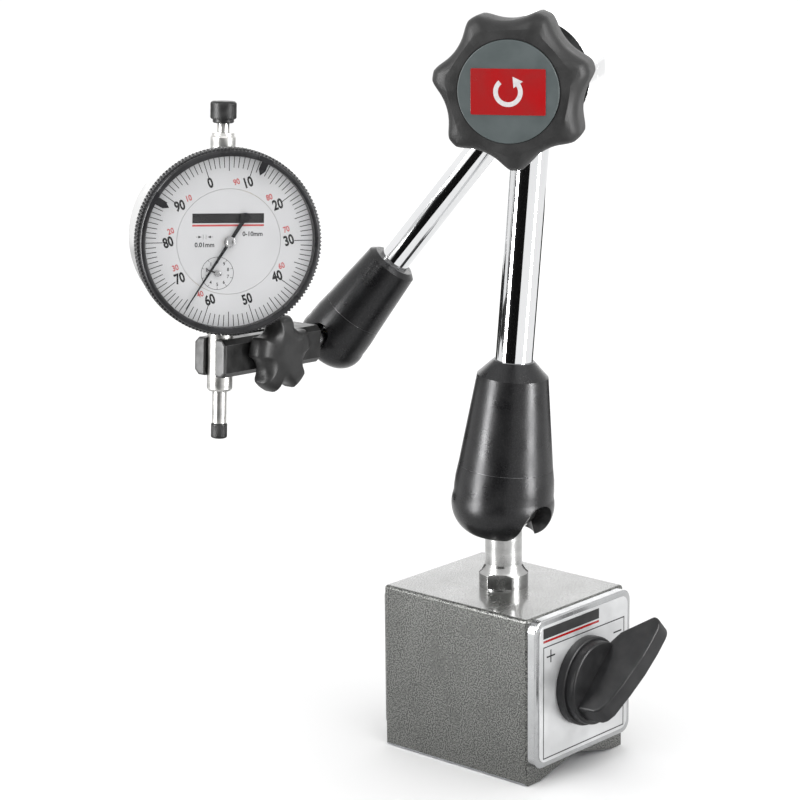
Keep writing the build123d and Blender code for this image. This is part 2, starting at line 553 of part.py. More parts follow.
def pointers_and_train():
    counter = Pos(COUNTER_X, 0, COUNTER_Z)
    take_up = Pos(TAKE_UP_X, 0, TAKE_UP_Z)
    wheel_radius = WHEEL_MODULE * WHEEL_TEETH / 2
    centre_radius = WHEEL_MODULE * CENTRE_TEETH / 2
    pinion_radius = RACK_PITCH * PINION_TEETH / (2 * pi)
    towards_counter = degrees(atan2(COUNTER_Z, COUNTER_X))

    hand = pointer(24.5, 8.9, 1.3, -11.3, 0.25, 1.7) + Pos(0, 0, -8.9) * facing(1.5, -11.3, -11.05)
    keep("main_pointer", Rot(0, 213, 0) * (hand - facing(0.7, -12, 0)), dial_frame)
    small = pointer(3.9, 1.2, 0.7, -10.75, 0.2, 0.9)
    keep("counter_pointer", counter * (Rot(0, -70, 0) * (small - facing(0.5, -12, 0))), dial_frame)

    centre = toothed(CENTRE_TEETH, centre_radius, 0.12, 0.25, 3.9, 6.8, towards_counter)
    centre = along_y(centre) + facing(0.7, -11.3, -6.7) + facing(0.4, -4.2, -2.75)
    keep("centre_pinion", centre, dial_frame)

    wheel = toothed(WHEEL_TEETH, wheel_radius, 0.12, 0.3, 5.6, 6.2, towards_counter + 180 + 1.8)
    wheel = along_y(wheel)
    for i in range(5):
        wheel -= Rot(0, 72 * i, 0) * (Pos(0, 0, 5.4) * facing(2.3, -7, -5))
    phase = 180.0 / PINION_TEETH
    pinion = along_y(toothed(PINION_TEETH, pinion_radius, 0.15, 0.35, -1.0, 1.0, phase))
    arbor = facing(0.5, -10.9, 4.1) + facing(1.0, -6.6, -5.2)
    keep("counter_gear", counter * (wheel + pinion + arbor), dial_frame)

    idle = along_y(toothed(WHEEL_TEETH, wheel_radius, 0.12, 0.3, 4.2, 4.7, 135 + 1.8))
    idle += facing(0.4, -8.95, -2.75) + facing(1.0, -5.2, -3.9)
    keep("take_up_gear", take_up * idle, dial_frame)
    coil = facing_ring(4.6, 4.35, -7.9, -7.3) + facing_ring(1.1, 0.4, -7.9, -7.3)
    for radius in (1.9, 2.8, 3.7):
        coil += facing_ring(radius, radius - 0.25, -7.9, -7.3)
    coil += block(0.45, 4.5, -7.8, -7.4, -0.15, 0.15)
    keep("hairspring", take_up * coil, dial_frame)


def spindle():
    low, shoulder, top = -DIAL_ABOVE_JAWS - 21.2, 14.0, 36.9
    body = rod(SPINDLE_RADIUS, low, shoulder) + rod(SPINDLE_TOP_RADIUS, shoulder, top)
    body += rod(1.25, low - 3.0, low) + rod(3.3, 3.0, 4.4)
    root, tip = -SPINDLE_RADIUS + 0.7, -SPINDLE_RADIUS + 0.2
    rack_low, rack_high = COUNTER_Z - STROKE - 3.0, COUNTER_Z + 3.0
    body -= block(-4, root, -4, 4, rack_low, rack_high)
    teeth = []
    count = int((rack_high - rack_low) / 2 / RACK_PITCH)
    for i in range(-2 * count, 2 * count + 1):
        z = COUNTER_Z + i * RACK_PITCH
        if rack_low + 0.3 < z < rack_high - 0.3:
            teeth.append(block(tip, root + 0.1, -1.3, 1.3, z - TOOTH_WIDTH / 2, z + TOOTH_WIDTH / 2))
    body = body.fuse(*teeth)
    keep("spindle", body, dial_frame)
    point = rod(2.55, low - 5.0, low) & Pos(0, 0, low - 5.2 + 4.4) * Sphere(4.4).fuse(rod(5, 0, 9))
    keep("contact_point", point - rod(1.25, low - 3.0, low + 1), dial_frame)
    knob = rod(4.05, top - 0.2, 42.1) + rod(3.3, top - 1.4, top - 0.2) - rod(1.9, 0, top)
    knob = chamfer(knob.edges().group_by(Axis.Z)[-1], 0.5)
    keep("lifting_knob", knob, dial_frame)
    spring = sweep(
        Plane((3.45, 0, 0), x_dir=(1, 0, 0), z_dir=(0, 1, 0)) * Circle(0.25),
        path=Helix(pitch=2.4, height=19.2, radius=3.45),
        is_frenet=True,
    )
    keep("return_spring", Pos(0, 0, 5.2) * spring, dial_frame)


base()
switch()
lower_stud()
lower_arm()
upper_arm()
upper_stud()
central_joint()
star_knob()
stem_clamp()
case()
stem_and_bush()
movement()
bezel()
pointers_and_train()
spindle()

for name, shape in pieces.items():
    export_step(shape, f"parts/{name}.step")
print(len(pieces), "nodes")
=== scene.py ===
import json
from math import acos, asin, cos, degrees, pi, radians, sin, sqrt

import bmesh
import bpy
from mathutils import Matrix, Vector


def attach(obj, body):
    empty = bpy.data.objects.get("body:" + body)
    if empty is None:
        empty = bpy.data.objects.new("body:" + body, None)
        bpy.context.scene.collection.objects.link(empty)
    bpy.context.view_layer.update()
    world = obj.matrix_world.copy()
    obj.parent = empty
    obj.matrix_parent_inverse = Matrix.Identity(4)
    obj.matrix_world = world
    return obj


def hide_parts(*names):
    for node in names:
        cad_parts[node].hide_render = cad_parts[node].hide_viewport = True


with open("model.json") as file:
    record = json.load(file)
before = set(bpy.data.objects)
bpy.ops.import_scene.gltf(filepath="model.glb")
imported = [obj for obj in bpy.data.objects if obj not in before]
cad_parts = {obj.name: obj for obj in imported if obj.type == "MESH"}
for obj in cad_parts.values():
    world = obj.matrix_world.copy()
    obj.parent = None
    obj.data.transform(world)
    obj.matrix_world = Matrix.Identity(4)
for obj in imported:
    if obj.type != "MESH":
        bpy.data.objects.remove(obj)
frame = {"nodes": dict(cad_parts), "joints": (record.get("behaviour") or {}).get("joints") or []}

# A dial indicator on a jointed arm and a switchable magnetic base. A piece is
# drawn in millimetres about the local origin of the part that it belongs to,
# and its seat, a matrix, then puts it in place in metres.

MM = 0.001
PRINT = 0.012      # half the thickness of a printed mark
UP = Vector((0, 0, 1))
RIGHT = Vector((1, 0, 0))
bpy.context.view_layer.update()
joints = {j["name"]: j for j in frame["joints"]}


# ----------------------------------------------------------------------- seats
def axis(name):
    return Vector(joints[name]["axis"])


def point(name):
    return Vector(joints[name]["pos_m"])


def seat(origin, x, z):
    x, z = x.normalized(), z.normalized()
    turn = Matrix((x, z.cross(x), z)).transposed().to_4x4()
    return Matrix.Translation(origin) @ turn @ Matrix.Scale(MM, 4)


def span(node, place):
    """Lowest and highest corner of a CAD node, in its seat's millimetres."""
    inverse = place.inverted()
    points = [inverse @ v.co for v in frame["nodes"][node].data.vertices]
    low = Vector([min(p[i] for p in points) for i in range(3)])
    high = Vector([max(p[i] for p in points) for i in range(3)])
    return low, high


hinge_axis = axis("arm_hinge")
stem_axis = axis("indicator_turn")
dial_normal = axis("bezel_turn")
clamp_axis = axis("clamp_swivel")
hinge_seat = seat(point("arm_hinge"), hinge_axis.cross(UP), hinge_axis)
knob_front = span("knob_badge", hinge_seat)[1].z * MM

base_seat = seat(Vector(), RIGHT, UP)
switch_seat = seat(Vector((0, 0, point("switch_turn").z)), RIGHT, axis("switch_turn"))
stud_seat = seat(Vector(), hinge_axis, UP)
lower_seat = seat(point("lower_ball_tilt"), hinge_axis, axis("lower_ball_spin"))
upper_seat = seat(point("upper_ball_tilt"), hinge_axis, axis("upper_rod_slide"))
knob_seat = seat(point("arm_hinge") + hinge_axis * knob_front, hinge_axis.cross(UP), hinge_axis)
clamp_seat = seat(point("clamp_swivel"), clamp_axis, stem_axis)
screw_place = (clamp_seat.inverted() @ point("clamp_knob_turn")).x
grip_seat = clamp_seat @ Matrix.Translation((screw_place, 0, 0))
grip_seat = grip_seat @ Matrix.Rotation(-pi / 2, 4, "X")
stem_seat = seat(point("bezel_turn"), stem_axis.cross(dial_normal), stem_axis)
dial_seat = seat(point("bezel_turn"), stem_axis.cross(dial_normal), dial_normal)


# --------------------------------------------------------------- shader effects
def effect(name, inputs, outputs):
    """An empty node group with named sockets, and its two end nodes."""
    group = bpy.data.node_groups.new(name, "ShaderNodeTree")
    for label, kind, value in inputs:
        socket = group.interface.new_socket(label, in_out="INPUT", socket_type=kind)
        if value is not None:
            socket.default_value = value
    for label in outputs:
        group.interface.new_socket(label, in_out="OUTPUT", socket_type="NodeSocketFloat")
    return group, group.nodes.new("NodeGroupInput"), group.nodes.new("NodeGroupOutput")


def maths(tree, operation, a, b=None):
    """A Math node; a and b are sockets or numbers. Gives its output."""
    node = tree.nodes.new("ShaderNodeMath")
    node.operation = operation
    for slot, value in zip(node.inputs, (a, b)):
        if isinstance(value, (int, float)):
            slot.default_value = value
        elif value is not None:
            tree.links.new(value, slot)
    return node.outputs[0]


def noise(tree, vector, scale, detail, roughness=0.5, dimensions="3D"):
    node = tree.nodes.new("ShaderNodeTexNoise")
    node.noise_dimensions = dimensions
    node.inputs["Detail"].default_value = detail
    node.inputs["Roughness"].default_value = roughness
    target = node.inputs["W"] if dimensions == "1D" else node.inputs["Vector"]
    tree.links.new(vector, target)
    if isinstance(scale, (int, float)):
        node.inputs["Scale"].default_value = scale
    else:
        tree.links.new(scale, node.inputs["Scale"])
    return node.outputs[0]


def make_grain():
    """Fine grain for bump, and a slow drift of tone, in one pattern."""
    sockets = (("Vector", "NodeSocketVector", None), ("Scale", "NodeSocketFloat", 2000.0))
    group, start, end = effect("surface_grain", sockets, ("Height", "Tone"))
    fine = noise(group, start.outputs["Vector"], start.outputs["Scale"], 4.0, 0.6)
    wide = maths(group, "MULTIPLY", start.outputs["Scale"], 0.06)
    slow = noise(group, start.outputs["Vector"], wide, 3.0, 0.55)
    group.links.new(fine, end.inputs["Height"])
    group.links.new(slow, end.inputs["Tone"])
    return group


def make_turning():
    """Rings left by the lathe tool about the local Z axis."""
    sockets = (("Vector", "NodeSocketVector", None), ("Rings", "NodeSocketFloat", 3000.0))
    group, start, end = effect("turning_marks", sockets, ("Height", "Tone"))
    parts = group.nodes.new("ShaderNodeSeparateXYZ")
    group.links.new(start.outputs["Vector"], parts.inputs[0])
    x2 = maths(group, "MULTIPLY", parts.outputs[0], parts.outputs[0])
    y2 = maths(group, "MULTIPLY", parts.outputs[1], parts.outputs[1])
    radius = maths(group, "SQRT", maths(group, "ADD", x2, y2))
    along = maths(group, "ADD", radius, parts.outputs[2])
    fine = noise(group, along, start.outputs["Rings"], 3.0, 0.7, "1D")
    wide = maths(group, "MULTIPLY", start.outputs["Rings"], 0.12)
    slow = noise(group, along, wide, 2.0, 0.5, "1D")
    group.links.new(fine, end.inputs["Height"])
    group.links.new(slow, end.inputs["Tone"])
    return group


grain_effect = make_grain()
turning_effect = make_turning()


class Finish:
    """A material whose Principled shader is fed by placed effects."""

    def __init__(self, name, colour, roughness, metallic=0.0, **constants):
        self.material = bpy.data.materials.new(name)
        self.material.use_nodes = True
        self.material.diffuse_color = (*colour, 1)
        self.tree = self.material.node_tree
        self.shader = self.tree.nodes["Principled BSDF"]
        self.shader.inputs["Base Color"].default_value = (*colour, 1)
        self.shader.inputs["Roughness"].default_value = roughness
        self.shader.inputs["Metallic"].default_value = metallic
        for label, value in constants.items():
            self.shader.inputs[label.replace("_", " ")].default_value = value
        self.colour, self.roughness = colour, roughness
        self.bump_normal = None

    def coordinates(self, place=None):
        where = self.tree.nodes.new("ShaderNodeTexCoord").outputs["Object"]
        if place is None:
            return where
        mapping = self.tree.nodes.new("ShaderNodeMapping")
        inverse = (place @ Matrix.Scale(1 / MM, 4)).inverted()
        mapping.inputs["Location"].default_value = inverse.translation
        mapping.inputs["Rotation"].default_value = inverse.to_euler()
        self.tree.links.new(where, mapping.inputs["Vector"])
        return mapping.outputs[0]

    def place_effect(self, group, place=None, **values):
        node = self.tree.nodes.new("ShaderNodeGroup")
        node.node_tree = group
        self.tree.links.new(self.coordinates(place), node.inputs["Vector"])
        for label, value in values.items():
            node.inputs[label].default_value = value
        return node

    def tint(self, tone, other, low=0.35, high=0.65, socket="Base Color"):
        """Blend the base colour towards another where the tone rises."""
        mask = self.tree.nodes.new("ShaderNodeMapRange")
        mask.inputs["From Min"].default_value = low
        mask.inputs["From Max"].default_value = high
        self.tree.links.new(tone, mask.inputs["Value"])
        mix = self.tree.nodes.new("ShaderNodeMix")
        mix.data_type = "RGBA"
        self.tree.links.new(mask.outputs[0], mix.inputs["Factor"])
        for slot in mix.inputs:
            if slot.type == "RGBA" and slot.name == "A":
                slot.default_value = (*self.colour, 1)
            if slot.type == "RGBA" and slot.name == "B":
                slot.default_value = (*other, 1)
        colour = next(s for s in mix.outputs if s.type == "RGBA")
        self.tree.links.new(colour, self.shader.inputs[socket])
        return self

    def vary_roughness(self, tone, spread):
        mask = self.tree.nodes.new("ShaderNodeMapRange")
        mask.inputs["From Min"].default_value = 0.3
        mask.inputs["From Max"].default_value = 0.7
        mask.inputs["To Min"].default_value = self.roughness - spread
        mask.inputs["To Max"].default_value = self.roughness + spread
        self.tree.links.new(tone, mask.inputs["Value"])
        self.tree.links.new(mask.outputs[0], self.shader.inputs["Roughness"])
        return self

    def bump(self, height, depth, strength=1.0):
        node = self.tree.nodes.new("ShaderNodeBump")
        node.inputs["Distance"].default_value = depth
        node.inputs["Strength"].default_value = strength
        self.tree.links.new(height, node.inputs["Height"])
        if self.bump_normal:
            self.tree.links.new(self.bump_normal, node.inputs["Normal"])
        self.bump_normal = node.outputs[0]
        self.tree.links.new(node.outputs[0], self.shader.inputs["Normal"])
        return self


# -------------------------------------------------------------------- finishes
def grained(name, colour, other, roughness, scale, depth, metallic=0.0, spread=0.06, **constants):
    """A plain finish with its own grain, slow colour drift and gloss drift."""
    finish = Finish(name, colour, roughness, metallic, **constants)
    grain = finish.place_effect(grain_effect, Scale=scale)
    finish.tint(grain.outputs["Tone"], other)
    finish.vary_roughness(grain.outputs["Tone"], spread)
    finish.bump(grain.outputs["Height"], depth)
    return finish.material


def lathed(name, place, colour, other, roughness, rings, depth, metallic=1.0, **constants):
    """A turned finish: tool rings about the piece's own axis, over a grain."""
    finish = Finish(name, colour, roughness, metallic, **constants)
    marks = finish.place_effect(turning_effect, place, Rings=rings)
    grain = finish.place_effect(grain_effect, Scale=5000.0)
    finish.tint(marks.outputs["Tone"], other)
    finish.vary_roughness(grain.outputs["Tone"], 0.05)
    finish.bump(grain.outputs["Height"], depth * 0.5)
    finish.bump(marks.outputs["Height"], depth)
    return finish.material


def hammered_enamel():
    """Dark grey hammered enamel: small pale islands in a darker net."""
    dark, pale = (0.005, 0.005, 0.005), (0.140, 0.144, 0.132)
    finish = Finish("hammer_paint", dark, 0.30, 0.35, Coat_Weight=0.7, Coat_Roughness=0.10)
    where = finish.coordinates()
    worms = noise(finish.tree, where, 2200.0, 1.0, 0.45)
    fine = noise(finish.tree, where, 4200.0, 2.0, 0.5)
    blend = maths(finish.tree, "ADD", maths(finish.tree, "MULTIPLY", worms, 0.72),
                  maths(finish.tree, "MULTIPLY", fine, 0.28))
    finish.tint(blend, pale, 0.45, 0.55)
    grain = finish.place_effect(grain_effect, Scale=1500.0)
    finish.vary_roughness(grain.outputs["Tone"], 0.06)
    finish.bump(blend, 0.00012, 0.9)
    return finish.material


def black_oxide(name, place):
    """Satin black oxide: a speckled grain over very faint tool rings."""
    finish = Finish(name, (0.009, 0.009, 0.010), 0.30, 0.4, Specular_IOR_Level=0.45)
    marks = finish.place_effect(turning_effect, place, Rings=3200.0)
    grain = finish.place_effect(grain_effect, Scale=2600.0)
    finish.tint(grain.outputs["Height"], (0.026, 0.026, 0.027), 0.45, 0.75)
    finish.vary_roughness(grain.outputs["Tone"], 0.05)
    finish.bump(marks.outputs["Height"], 1.5e-6)
    finish.bump(grain.outputs["Height"], 3.5e-5)
    return finish.material


FINISHES = {"hammer_paint": hammered_enamel()}


def add_grained(name, *values, **constants):
    FINISHES[name] = grained(name, *values, **constants)


add_grained("ground_steel", (0.52, 0.53, 0.55), (0.40, 0.41, 0.43), 0.30, 3500.0, 2e-6, 1.0)
add_grained("frame_metal", (0.44, 0.445, 0.45), (0.36, 0.365, 0.37), 0.24, 2500.0, 1.5e-6, 1.0)
add_grained("label_print", (0.56, 0.565, 0.57), (0.62, 0.625, 0.63), 0.34, 1800.0, 1.0e-6, 0.6)
add_grained("black_plastic", (0.010, 0.010, 0.011), (0.018, 0.018, 0.019), 0.40, 3200.0, 1.6e-5,
            Specular_IOR_Level=0.25)
add_grained("moulded_black", (0.012, 0.012, 0.012), (0.022, 0.022, 0.022), 0.50, 2600.0, 9.0e-5,
            Specular_IOR_Level=0.25)
add_grained("smooth_grip", (0.013, 0.013, 0.013), (0.024, 0.024, 0.024), 0.42, 2200.0, 1.2e-5,
            Specular_IOR_Level=0.25)
add_grained("clamp_black", (0.010, 0.010, 0.010), (0.022, 0.022, 0.022), 0.38, 3800.0, 1.0e-5, 0.3,
            Specular_IOR_Level=0.25)
# Lighter grey for the clamp's bare ground jaw ends, and a painted highlight and worn bare metal on its rounded
# edges.
add_grained("clamp_bare_and_highlit", (0.035, 0.035, 0.035), (0.075, 0.075, 0.075), 0.42, 4200.0, 1.4e-5, 0.3)
# Lighter colour for the rounded edges of the black oxide cups and sleeves: partly worn bare metal, partly a painted
# highlight.
add_grained("worn_and_highlit_edge", (0.08, 0.08, 0.082), (0.20, 0.20, 0.205), 0.30, 5200.0, 2e-6, 0.9)
add_grained("chrome_plate", (0.74, 0.745, 0.75), (0.70, 0.705, 0.715), 0.05, 900.0, 4e-7, 1.0, 0.02)
add_grained("bare_steel", (0.42, 0.42, 0.425), (0.34, 0.34, 0.345), 0.26, 4200.0, 1.5e-6, 1.0)
add_grained("rotor_iron", (0.30, 0.30, 0.31), (0.22, 0.22, 0.23), 0.36, 3000.0, 3e-6, 1.0)
add_grained("magnet_black", (0.035, 0.034, 0.034), (0.06, 0.06, 0.06), 0.55, 3600.0, 1.2e-5)
add_grained("cap_grey", (0.072, 0.090, 0.091), (0.082, 0.101, 0.103), 0.46, 2400.0, 3e-6,
            Specular_IOR_Level=0.3)
add_grained("badge_red", (0.42, 0.004, 0.006), (0.34, 0.003, 0.004), 0.24, 1500.0, 1e-6,
            Coat_Weight=0.5, Coat_Roughness=0.08)
add_grained("badge_white", (0.80, 0.78, 0.78), (0.62, 0.60, 0.61), 0.35, 9000.0, 2e-6, 0.2)
add_grained("case_silver", (0.66, 0.66, 0.655), (0.59, 0.59, 0.588), 0.36, 2600.0, 2e-6, 0.7)
add_grained("bezel_black", (0.014, 0.014, 0.015), (0.026, 0.026, 0.028), 0.30, 2400.0, 4e-6, 0.2,
            Specular_IOR_Level=0.25)
add_grained("dial_white", (0.68, 0.682, 0.695), (0.71, 0.712, 0.725), 0.48, 1400.0, 8e-7)
add_grained("dial_red", (0.55, 0.05, 0.05), (0.60, 0.08, 0.08), 0.5, 4000.0, 5e-7)
add_grained("dial_black", (0.012, 0.012, 0.013), (0.020, 0.020, 0.021), 0.45, 4000.0, 5e-7,
            Specular_IOR_Level=0.25)
add_grained("pointer_black", (0.010, 0.010, 0.012), (0.018, 0.018, 0.020), 0.28, 3000.0, 1e-6, 0.2,
            Specular_IOR_Level=0.25)
add_grained("movement_brass", (0.62, 0.45, 0.18), (0.54, 0.38, 0.15), 0.25, 3200.0, 2e-6, 1.0)
add_grained("knurled_black", (0.014, 0.014, 0.014), (0.035, 0.035, 0.035), 0.42, 5000.0, 1.0e-5,
            0.4, Specular_IOR_Level=0.25)
FINISHES["stud_steel"] = lathed("stud_steel", stud_seat, (0.42, 0.42, 0.415), (0.33, 0.33, 0.325),
                                0.24, 2600.0, 6e-6)
FINISHES["stem_steel"] = lathed("stem_steel", stem_seat, (0.46, 0.455, 0.44), (0.35, 0.35, 0.34),
                                0.32, 3400.0, 5e-6)
FINISHES["lower_oxide"] = black_oxide("lower_oxide", lower_seat)
FINISHES["upper_oxide"] = black_oxide("upper_oxide", upper_seat)


def crystal_finish():
    """Thin clear cover: nearly nothing but a faint gloss."""
    finish = Finish("crystal_clear", (0.10, 0.10, 0.10), 0.04, 0.0, Alpha=0.06, IOR=1.49)
    grain = finish.place_effect(grain_effect, Scale=700.0)
    finish.bump(grain.outputs["Height"], 2e-7)
    return finish.material


FINISHES["crystal_clear"] = crystal_finish()


# ------------------------------------------------------------------ mesh tools
def tidy(bm):
    bmesh.ops.remove_doubles(bm, verts=bm.verts[:], dist=1e-5)
    bmesh.ops.recalc_face_normals(bm, faces=bm.faces[:])
    return bm


def turned(profile, steps=96):
    """Spin (radius, height) points about Z into a closed solid."""
    bm = bmesh.new()
    verts = [bm.verts.new((r, 0, z)) for r, z in profile]
    edges = []
    for a, b in zip(verts, verts[1:] + verts[:1]):
        if a.co.x > 1e-6 or b.co.x > 1e-6:
            edges.append(bm.edges.new((a, b)))
    bmesh.ops.spin(bm, geom=verts + edges, cent=(0, 0, 0), axis=(0, 0, 1), angle=2 * pi,
                   steps=steps, use_merge=True)
    return tidy(bm)


def arc(centre_r, centre_z, radius, start, end, count):
    """Profile points on an arc; angles in degrees from the radial direction."""
    points = []
    for i in range(count + 1):
        angle = radians(start + (end - start) * i / count)
        points.append((centre_r + radius * cos(angle), centre_z + radius * sin(angle)))
    return points


def rounded_outline(x0, x1, y0, y1, radius, count=8):
    """Corner points of a rectangle with round corners."""
    points = []
    for cx, cy, start in ((x1, y1, 0), (x0, y1, 90), (x0, y0, 180), (x1, y0, 270)):
        dx = -radius if cx == x1 else radius
        dy = -radius if cy == y1 else radius
        points += arc(cx + dx, cy + dy, radius, start, start + 90, count)
    return points


def slab(outline, low, high):
    """Extrude an outline in XY from one height to another."""
    bm = bmesh.new()
    face = bm.faces.new([bm.verts.new((x, y, low)) for x, y in outline])
    grown = bmesh.ops.extrude_face_region(bm, geom=[face])["geom"]
    lifted = [g for g in grown if isinstance(g, bmesh.types.BMVert)]
    bmesh.ops.translate(bm, verts=lifted, vec=(0, 0, high - low))
    return tidy(bm)


STAND_UP = Matrix.Rotation(pi / 2, 4, "X") @ Matrix.Diagonal((1, 1, -1, 1))


def upright(outline, low, high):
    """A slab whose outline lies in XZ and whose thickness runs along Y."""
    return tidy(moved(slab(outline, low, high), STAND_UP))


def box_between(low, high):
    bm = bmesh.new()
    bmesh.ops.create_cube(bm, size=1)
    low, high = Vector(low), Vector(high)
    size = high - low
    return moved(bm, Matrix.Translation((low + high) / 2) @ Matrix.Diagonal((*size, 1)))


def moved(bm, matrix):
    bmesh.ops.transform(bm, matrix=matrix, verts=bm.verts[:])
    return bm


def soften(bm, width, segments=3, angle=28.0, where=None):
    """Round the sharp edges; gives the new faces of the rounding."""
    edges = [e for e in bm.edges if e.is_manifold and e.calc_face_angle(0.0) > radians(angle)]
    if where:
        edges = [e for e in edges if where((e.verts[0].co + e.verts[1].co) / 2)]
    result = bmesh.ops.bevel(bm, geom=edges, offset=width, offset_type="OFFSET", segments=segments,
                             profile=0.5, affect="EDGES", clamp_overlap=True, material=-1)
    return [f for f in result["faces"] if f.is_valid]


def as_object(bm, name):
    mesh = bpy.data.meshes.new(name)
    bm.to_mesh(mesh)
    bm.free()
    made = bpy.data.objects.new(name, mesh)
    bpy.context.scene.collection.objects.link(made)
    return made


def joined(bm, others, operation="DIFFERENCE"):
    """Cut the other solids from a solid, or add them to it."""
    work = as_object(bm, "work")
    tools = [as_object(other, "tool") for other in others]
    for tool in tools:
        step = work.modifiers.new("step", "BOOLEAN")
        step.operation, step.object, step.solver = operation, tool, "EXACT"
    graph = bpy.context.evaluated_depsgraph_get()
    result = bmesh.new()
    result.from_mesh(work.evaluated_get(graph).data)
    for made in [work] + tools:
        bpy.data.objects.remove(made)
    return tidy(result)


def finish_piece(bm, name, place, finish, body, replaces=(), second=None, angle=32.0):
    """Put a drawn solid in its seat, give it its finish and let it ride."""
    moved(bm, place)
    if place.to_3x3().determinant() < 0:
        bmesh.ops.reverse_faces(bm, faces=bm.faces[:])
    piece = as_object(bm, name)
    piece.data.shade_smooth()
    piece.data.set_sharp_from_angle(angle=radians(angle))
    piece.data.materials.append(FINISHES[finish])
    if second:
        piece.data.materials.append(FINISHES[second])
    even = piece.modifiers.new("even_shading", "WEIGHTED_NORMAL")
    even.keep_sharp = True
    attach(piece, body)
    if replaces:
        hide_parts(*replaces)
    return piece


def refined(node, finish, body, width=0.0, name=None):
    """A smooth-shaded copy of a CAD node, merged and with softened edges."""
    bm = bmesh.new()
    bm.from_mesh(frame["nodes"][node].data)
    bmesh.ops.scale(bm, vec=(1 / MM,) * 3, verts=bm.verts[:])
    bmesh.ops.remove_doubles(bm, verts=bm.verts[:], dist=1e-4)
    bmesh.ops.dissolve_limit(bm, angle_limit=radians(0.6), verts=bm.verts[:], edges=bm.edges[:],
                             delimit={"NORMAL"})
    if width:
        soften(bm, width, 2, 40.0)
    scale_down = Matrix.Scale(MM, 4)
    return finish_piece(bm, name or node + "_piece", scale_down, finish, body, (node,))


def lobed(levels, tip, valley, bite, lobes, turn, count=28):
    """A lobed grip from its rings: (height, inset, roundness, round radius).

    Roundness 0 follows the lobes, 1 is a circle. The rings run from the
    middle of the front, over the rim, to the bore."""
    reach = valley + bite
    total = lobes * count

    def outline(i, inset):
        swing = 2 * pi * (i / total) * lobes
        off = pi / lobes - acos(cos(swing)) / lobes
        inside = bite ** 2 - (reach * sin(off)) ** 2
        hollow = reach * cos(off) - sqrt(inside) if inside > 0 else tip * 2
        soft = 0.045 * tip
        gap = max(0.0, min(1.0, 0.5 + 0.5 * (hollow - tip) / (2 * soft)))
        shaped = hollow * (1 - gap) + tip * gap - 2 * soft * gap * (1 - gap)
        return shaped - inset

    bm = bmesh.new()
    previous = None
    for height, inset, roundness, radius in levels:
        ring = []
        for i in range(total):
            angle = radians(turn) + 2 * pi * i / total
            r = outline(i, inset) * (1 - roundness) + radius * roundness
            ring.append(bm.verts.new((r * cos(angle), r * sin(angle), height)))
        edges = [bm.edges.new((a, b)) for a, b in zip(ring, ring[1:] + ring[:1])]
        if previous:
            bmesh.ops.bridge_loops(bm, edges=previous + edges)
        else:
            bmesh.ops.contextual_create(bm, geom=edges)
        previous = edges
    bmesh.ops.contextual_create(bm, geom=previous)
    return tidy(bm)


def lettering(words, size, x, y, turn=0.0, squeeze=0.86, weight=0.0, height=PRINT):
    """Words made of thin solid letters, centred on a place in a dial plane."""
    curve = bpy.data.curves.new("words", "FONT")
    curve.body, curve.size = words, size
    curve.align_x, curve.align_y = "CENTER", "CENTER"
    curve.extrude, curve.offset = height, weight
    curve.resolution_u = 3
    text = bpy.data.objects.new("words", curve)
    bpy.context.scene.collection.objects.link(text)
    graph = bpy.context.evaluated_depsgraph_get()
    mesh = bpy.data.meshes.new_from_object(text.evaluated_get(graph))
    bm = bmesh.new()
    bm.from_mesh(mesh)
    bpy.data.objects.remove(text)
    bpy.data.meshes.remove(mesh)
    spot = Matrix.Translation((x, y, 0)) @ Matrix.Rotation(turn, 4, "Z")
    return moved(bm, spot @ Matrix.Diagonal((squeeze, 1, 1, 1)))


def gather(parts):
    """One drawing from several."""
    whole = bmesh.new()
    for part in parts:
        mesh = bpy.data.meshes.new("part")
        part.to_mesh(mesh)
        part.free()
        whole.from_mesh(mesh)
        bpy.data.meshes.remove(mesh)
    return whole


def lifted(bm, height):
    return moved(bm, Matrix.Translation((0, 0, height)))


